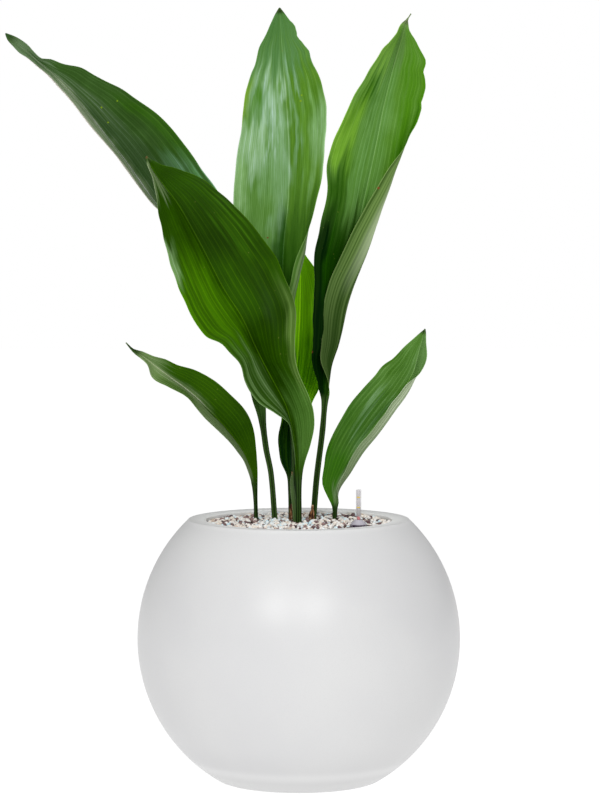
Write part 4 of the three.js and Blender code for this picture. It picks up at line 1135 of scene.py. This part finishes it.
def add_granulate():
    """The filling's own solid as the gravel bed, darkened as painted shade in the gaps, with loose stones
    of three colours on it.
    """
    random = np.random.default_rng(5)
    shapes, shape_faces = stone_shapes(random)
    # Dark as the gravel's own tone and as painted shade in the gaps between the stones
    gravel = two_tone(
        "gravel_bed_gap_shade", 0.15, 260, 4, (0.35, 0.65), (44, 34, 34), (110, 92, 84), (0.7, 0.002), (0.85, 0.95))
    bed = repaint("granulate", gravel)
    fill = BVHTree.FromObject(bed, bpy.context.evaluated_depsgraph_get())
    seats = stone_places(random, fill, stone_keep_out())
    shares = np.cumsum([kind[0] for kind in STONE_KINDS.values()])
    kinds = np.searchsorted(shares, random.random(len(seats)))
    for number, (name, (_, *colors)) in enumerate(STONE_KINDS.items()):
        points = []
        tones = []
        for (x, y, z, size), kind in zip(seats, kinds):
            turned = shapes[random.integers(STONE_SHAPES)] @ random_rotation(random).T * size
            tone = random.random()
            if kind == number:
                points.append(turned + (x, y, z))
                tones.append(np.full(len(turned), tone))
        per_stone = len(points[0])
        faces = np.concatenate([shape_faces + per_stone * i for i in range(len(points))])
        mesh = make_mesh(name, np.concatenate(points), faces.tolist())
        add_attribute(mesh, "tone", np.concatenate(tones))
        add_piece(name, mesh, stone_material(name, *colors), "granulate")


# Surroundings

FLOOR_REACH = 9.0
FLOOR_GLOW = 0.93
WORLD_LIGHT = 0.41

# Soft square lights: azimuth from the front, elevation, distance, size, power
LIGHT_TARGET = Vector((0, 0, 0.4))
LIGHTS = {
    "key_left": (-18, 23, 2.6, 0.5, 16),
    "key_right": (12.5, 23, 2.6, 0.5, 15),
    "top": (0, 86, 2.4, 2.0, 15),
    "side_left": (-85, 56, 2.6, 1.4, 3),
    "side_right": (85, 56, 2.6, 1.4, 3),
}

CAMERA_PLACE = (0.0013, -3.3245, 0.6229)
CAMERA_TILT = 86.19
CAMERA_LENS = 142.78
CAMERA_SENSOR = 36


def add_floor():
    reach = FLOOR_REACH
    corners = [(-reach, -reach, 0), (reach, -reach, 0), (reach, reach, 0), (-reach, reach, 0)]
    mesh = bpy.data.meshes.new("floor")
    mesh.from_pydata(corners, [], [(0, 1, 2, 3)])
    glow = {"Emission Color": (1, 1, 1, 1), "Emission Strength": FLOOR_GLOW}
    paint = Paint("floor_white", 0.0, **glow)
    add_object("floor", mesh, paint.finish((0.2, 0.2, 0.2), 0.9))


def add_light(name, azimuth, elevation, distance, size, power):
    turn, rise = math.radians(azimuth), math.radians(elevation)
    away = Vector((math.sin(turn) * math.cos(rise), -math.cos(turn) * math.cos(rise), math.sin(rise)))
    data = bpy.data.lights.new(name, "AREA")
    data.shape = "SQUARE"
    data.size = size
    data.energy = power
    light = bpy.data.objects.new(name, data)
    light.location = LIGHT_TARGET + distance * away
    light.rotation_euler = (-away).to_track_quat("-Z", "Y").to_euler()
    light.visible_camera = False
    bpy.context.scene.collection.objects.link(light)


def add_world():
    """White as seen, and a dimmer even light on the object."""
    world = bpy.data.worlds.new("studio")
    world.use_nodes = True
    nodes, links = world.node_tree.nodes, world.node_tree.links
    background = nodes["Background"]
    background.inputs["Color"].default_value = (1, 1, 1, 1)
    rays = nodes.new("ShaderNodeLightPath")
    strength = nodes.new("ShaderNodeMapRange")
    strength.inputs["To Min"].default_value = WORLD_LIGHT
    strength.inputs["To Max"].default_value = 1.0
    links.new(rays.outputs["Is Camera Ray"], strength.inputs["Value"])
    links.new(strength.outputs["Result"], background.inputs["Strength"])
    bpy.context.scene.world = world
    bpy.context.scene.view_settings.view_transform = "Standard"


def add_camera():
    data = bpy.data.cameras.new("camera")
    data.sensor_fit = "VERTICAL"
    data.sensor_height = CAMERA_SENSOR
    data.lens = CAMERA_LENS
    camera = bpy.data.objects.new("camera", data)
    camera.location = CAMERA_PLACE
    camera.rotation_euler = (math.radians(CAMERA_TILT), 0, 0)
    bpy.context.scene.collection.objects.link(camera)
    bpy.context.scene.camera = camera


pot_mesh = lathe_mesh("pot_turned", pot_profile(), POT_SIDES)
add_piece("pot_turned", pot_mesh, pot_material(), "planter", "pot")
add_leaves()
add_gauge()
add_granulate()
wood = two_tone(
    "woody_stem", 0.2, (60, 60, 240), 4, (0.3, 0.7), (96, 72, 46), (164, 134, 96),
    (0.6, 0.0015), (0.8, 0.92))
repaint("rootstock", wood)
add_floor()
for light_name, light in LIGHTS.items():
    add_light(light_name, *light)
add_world()
add_camera()
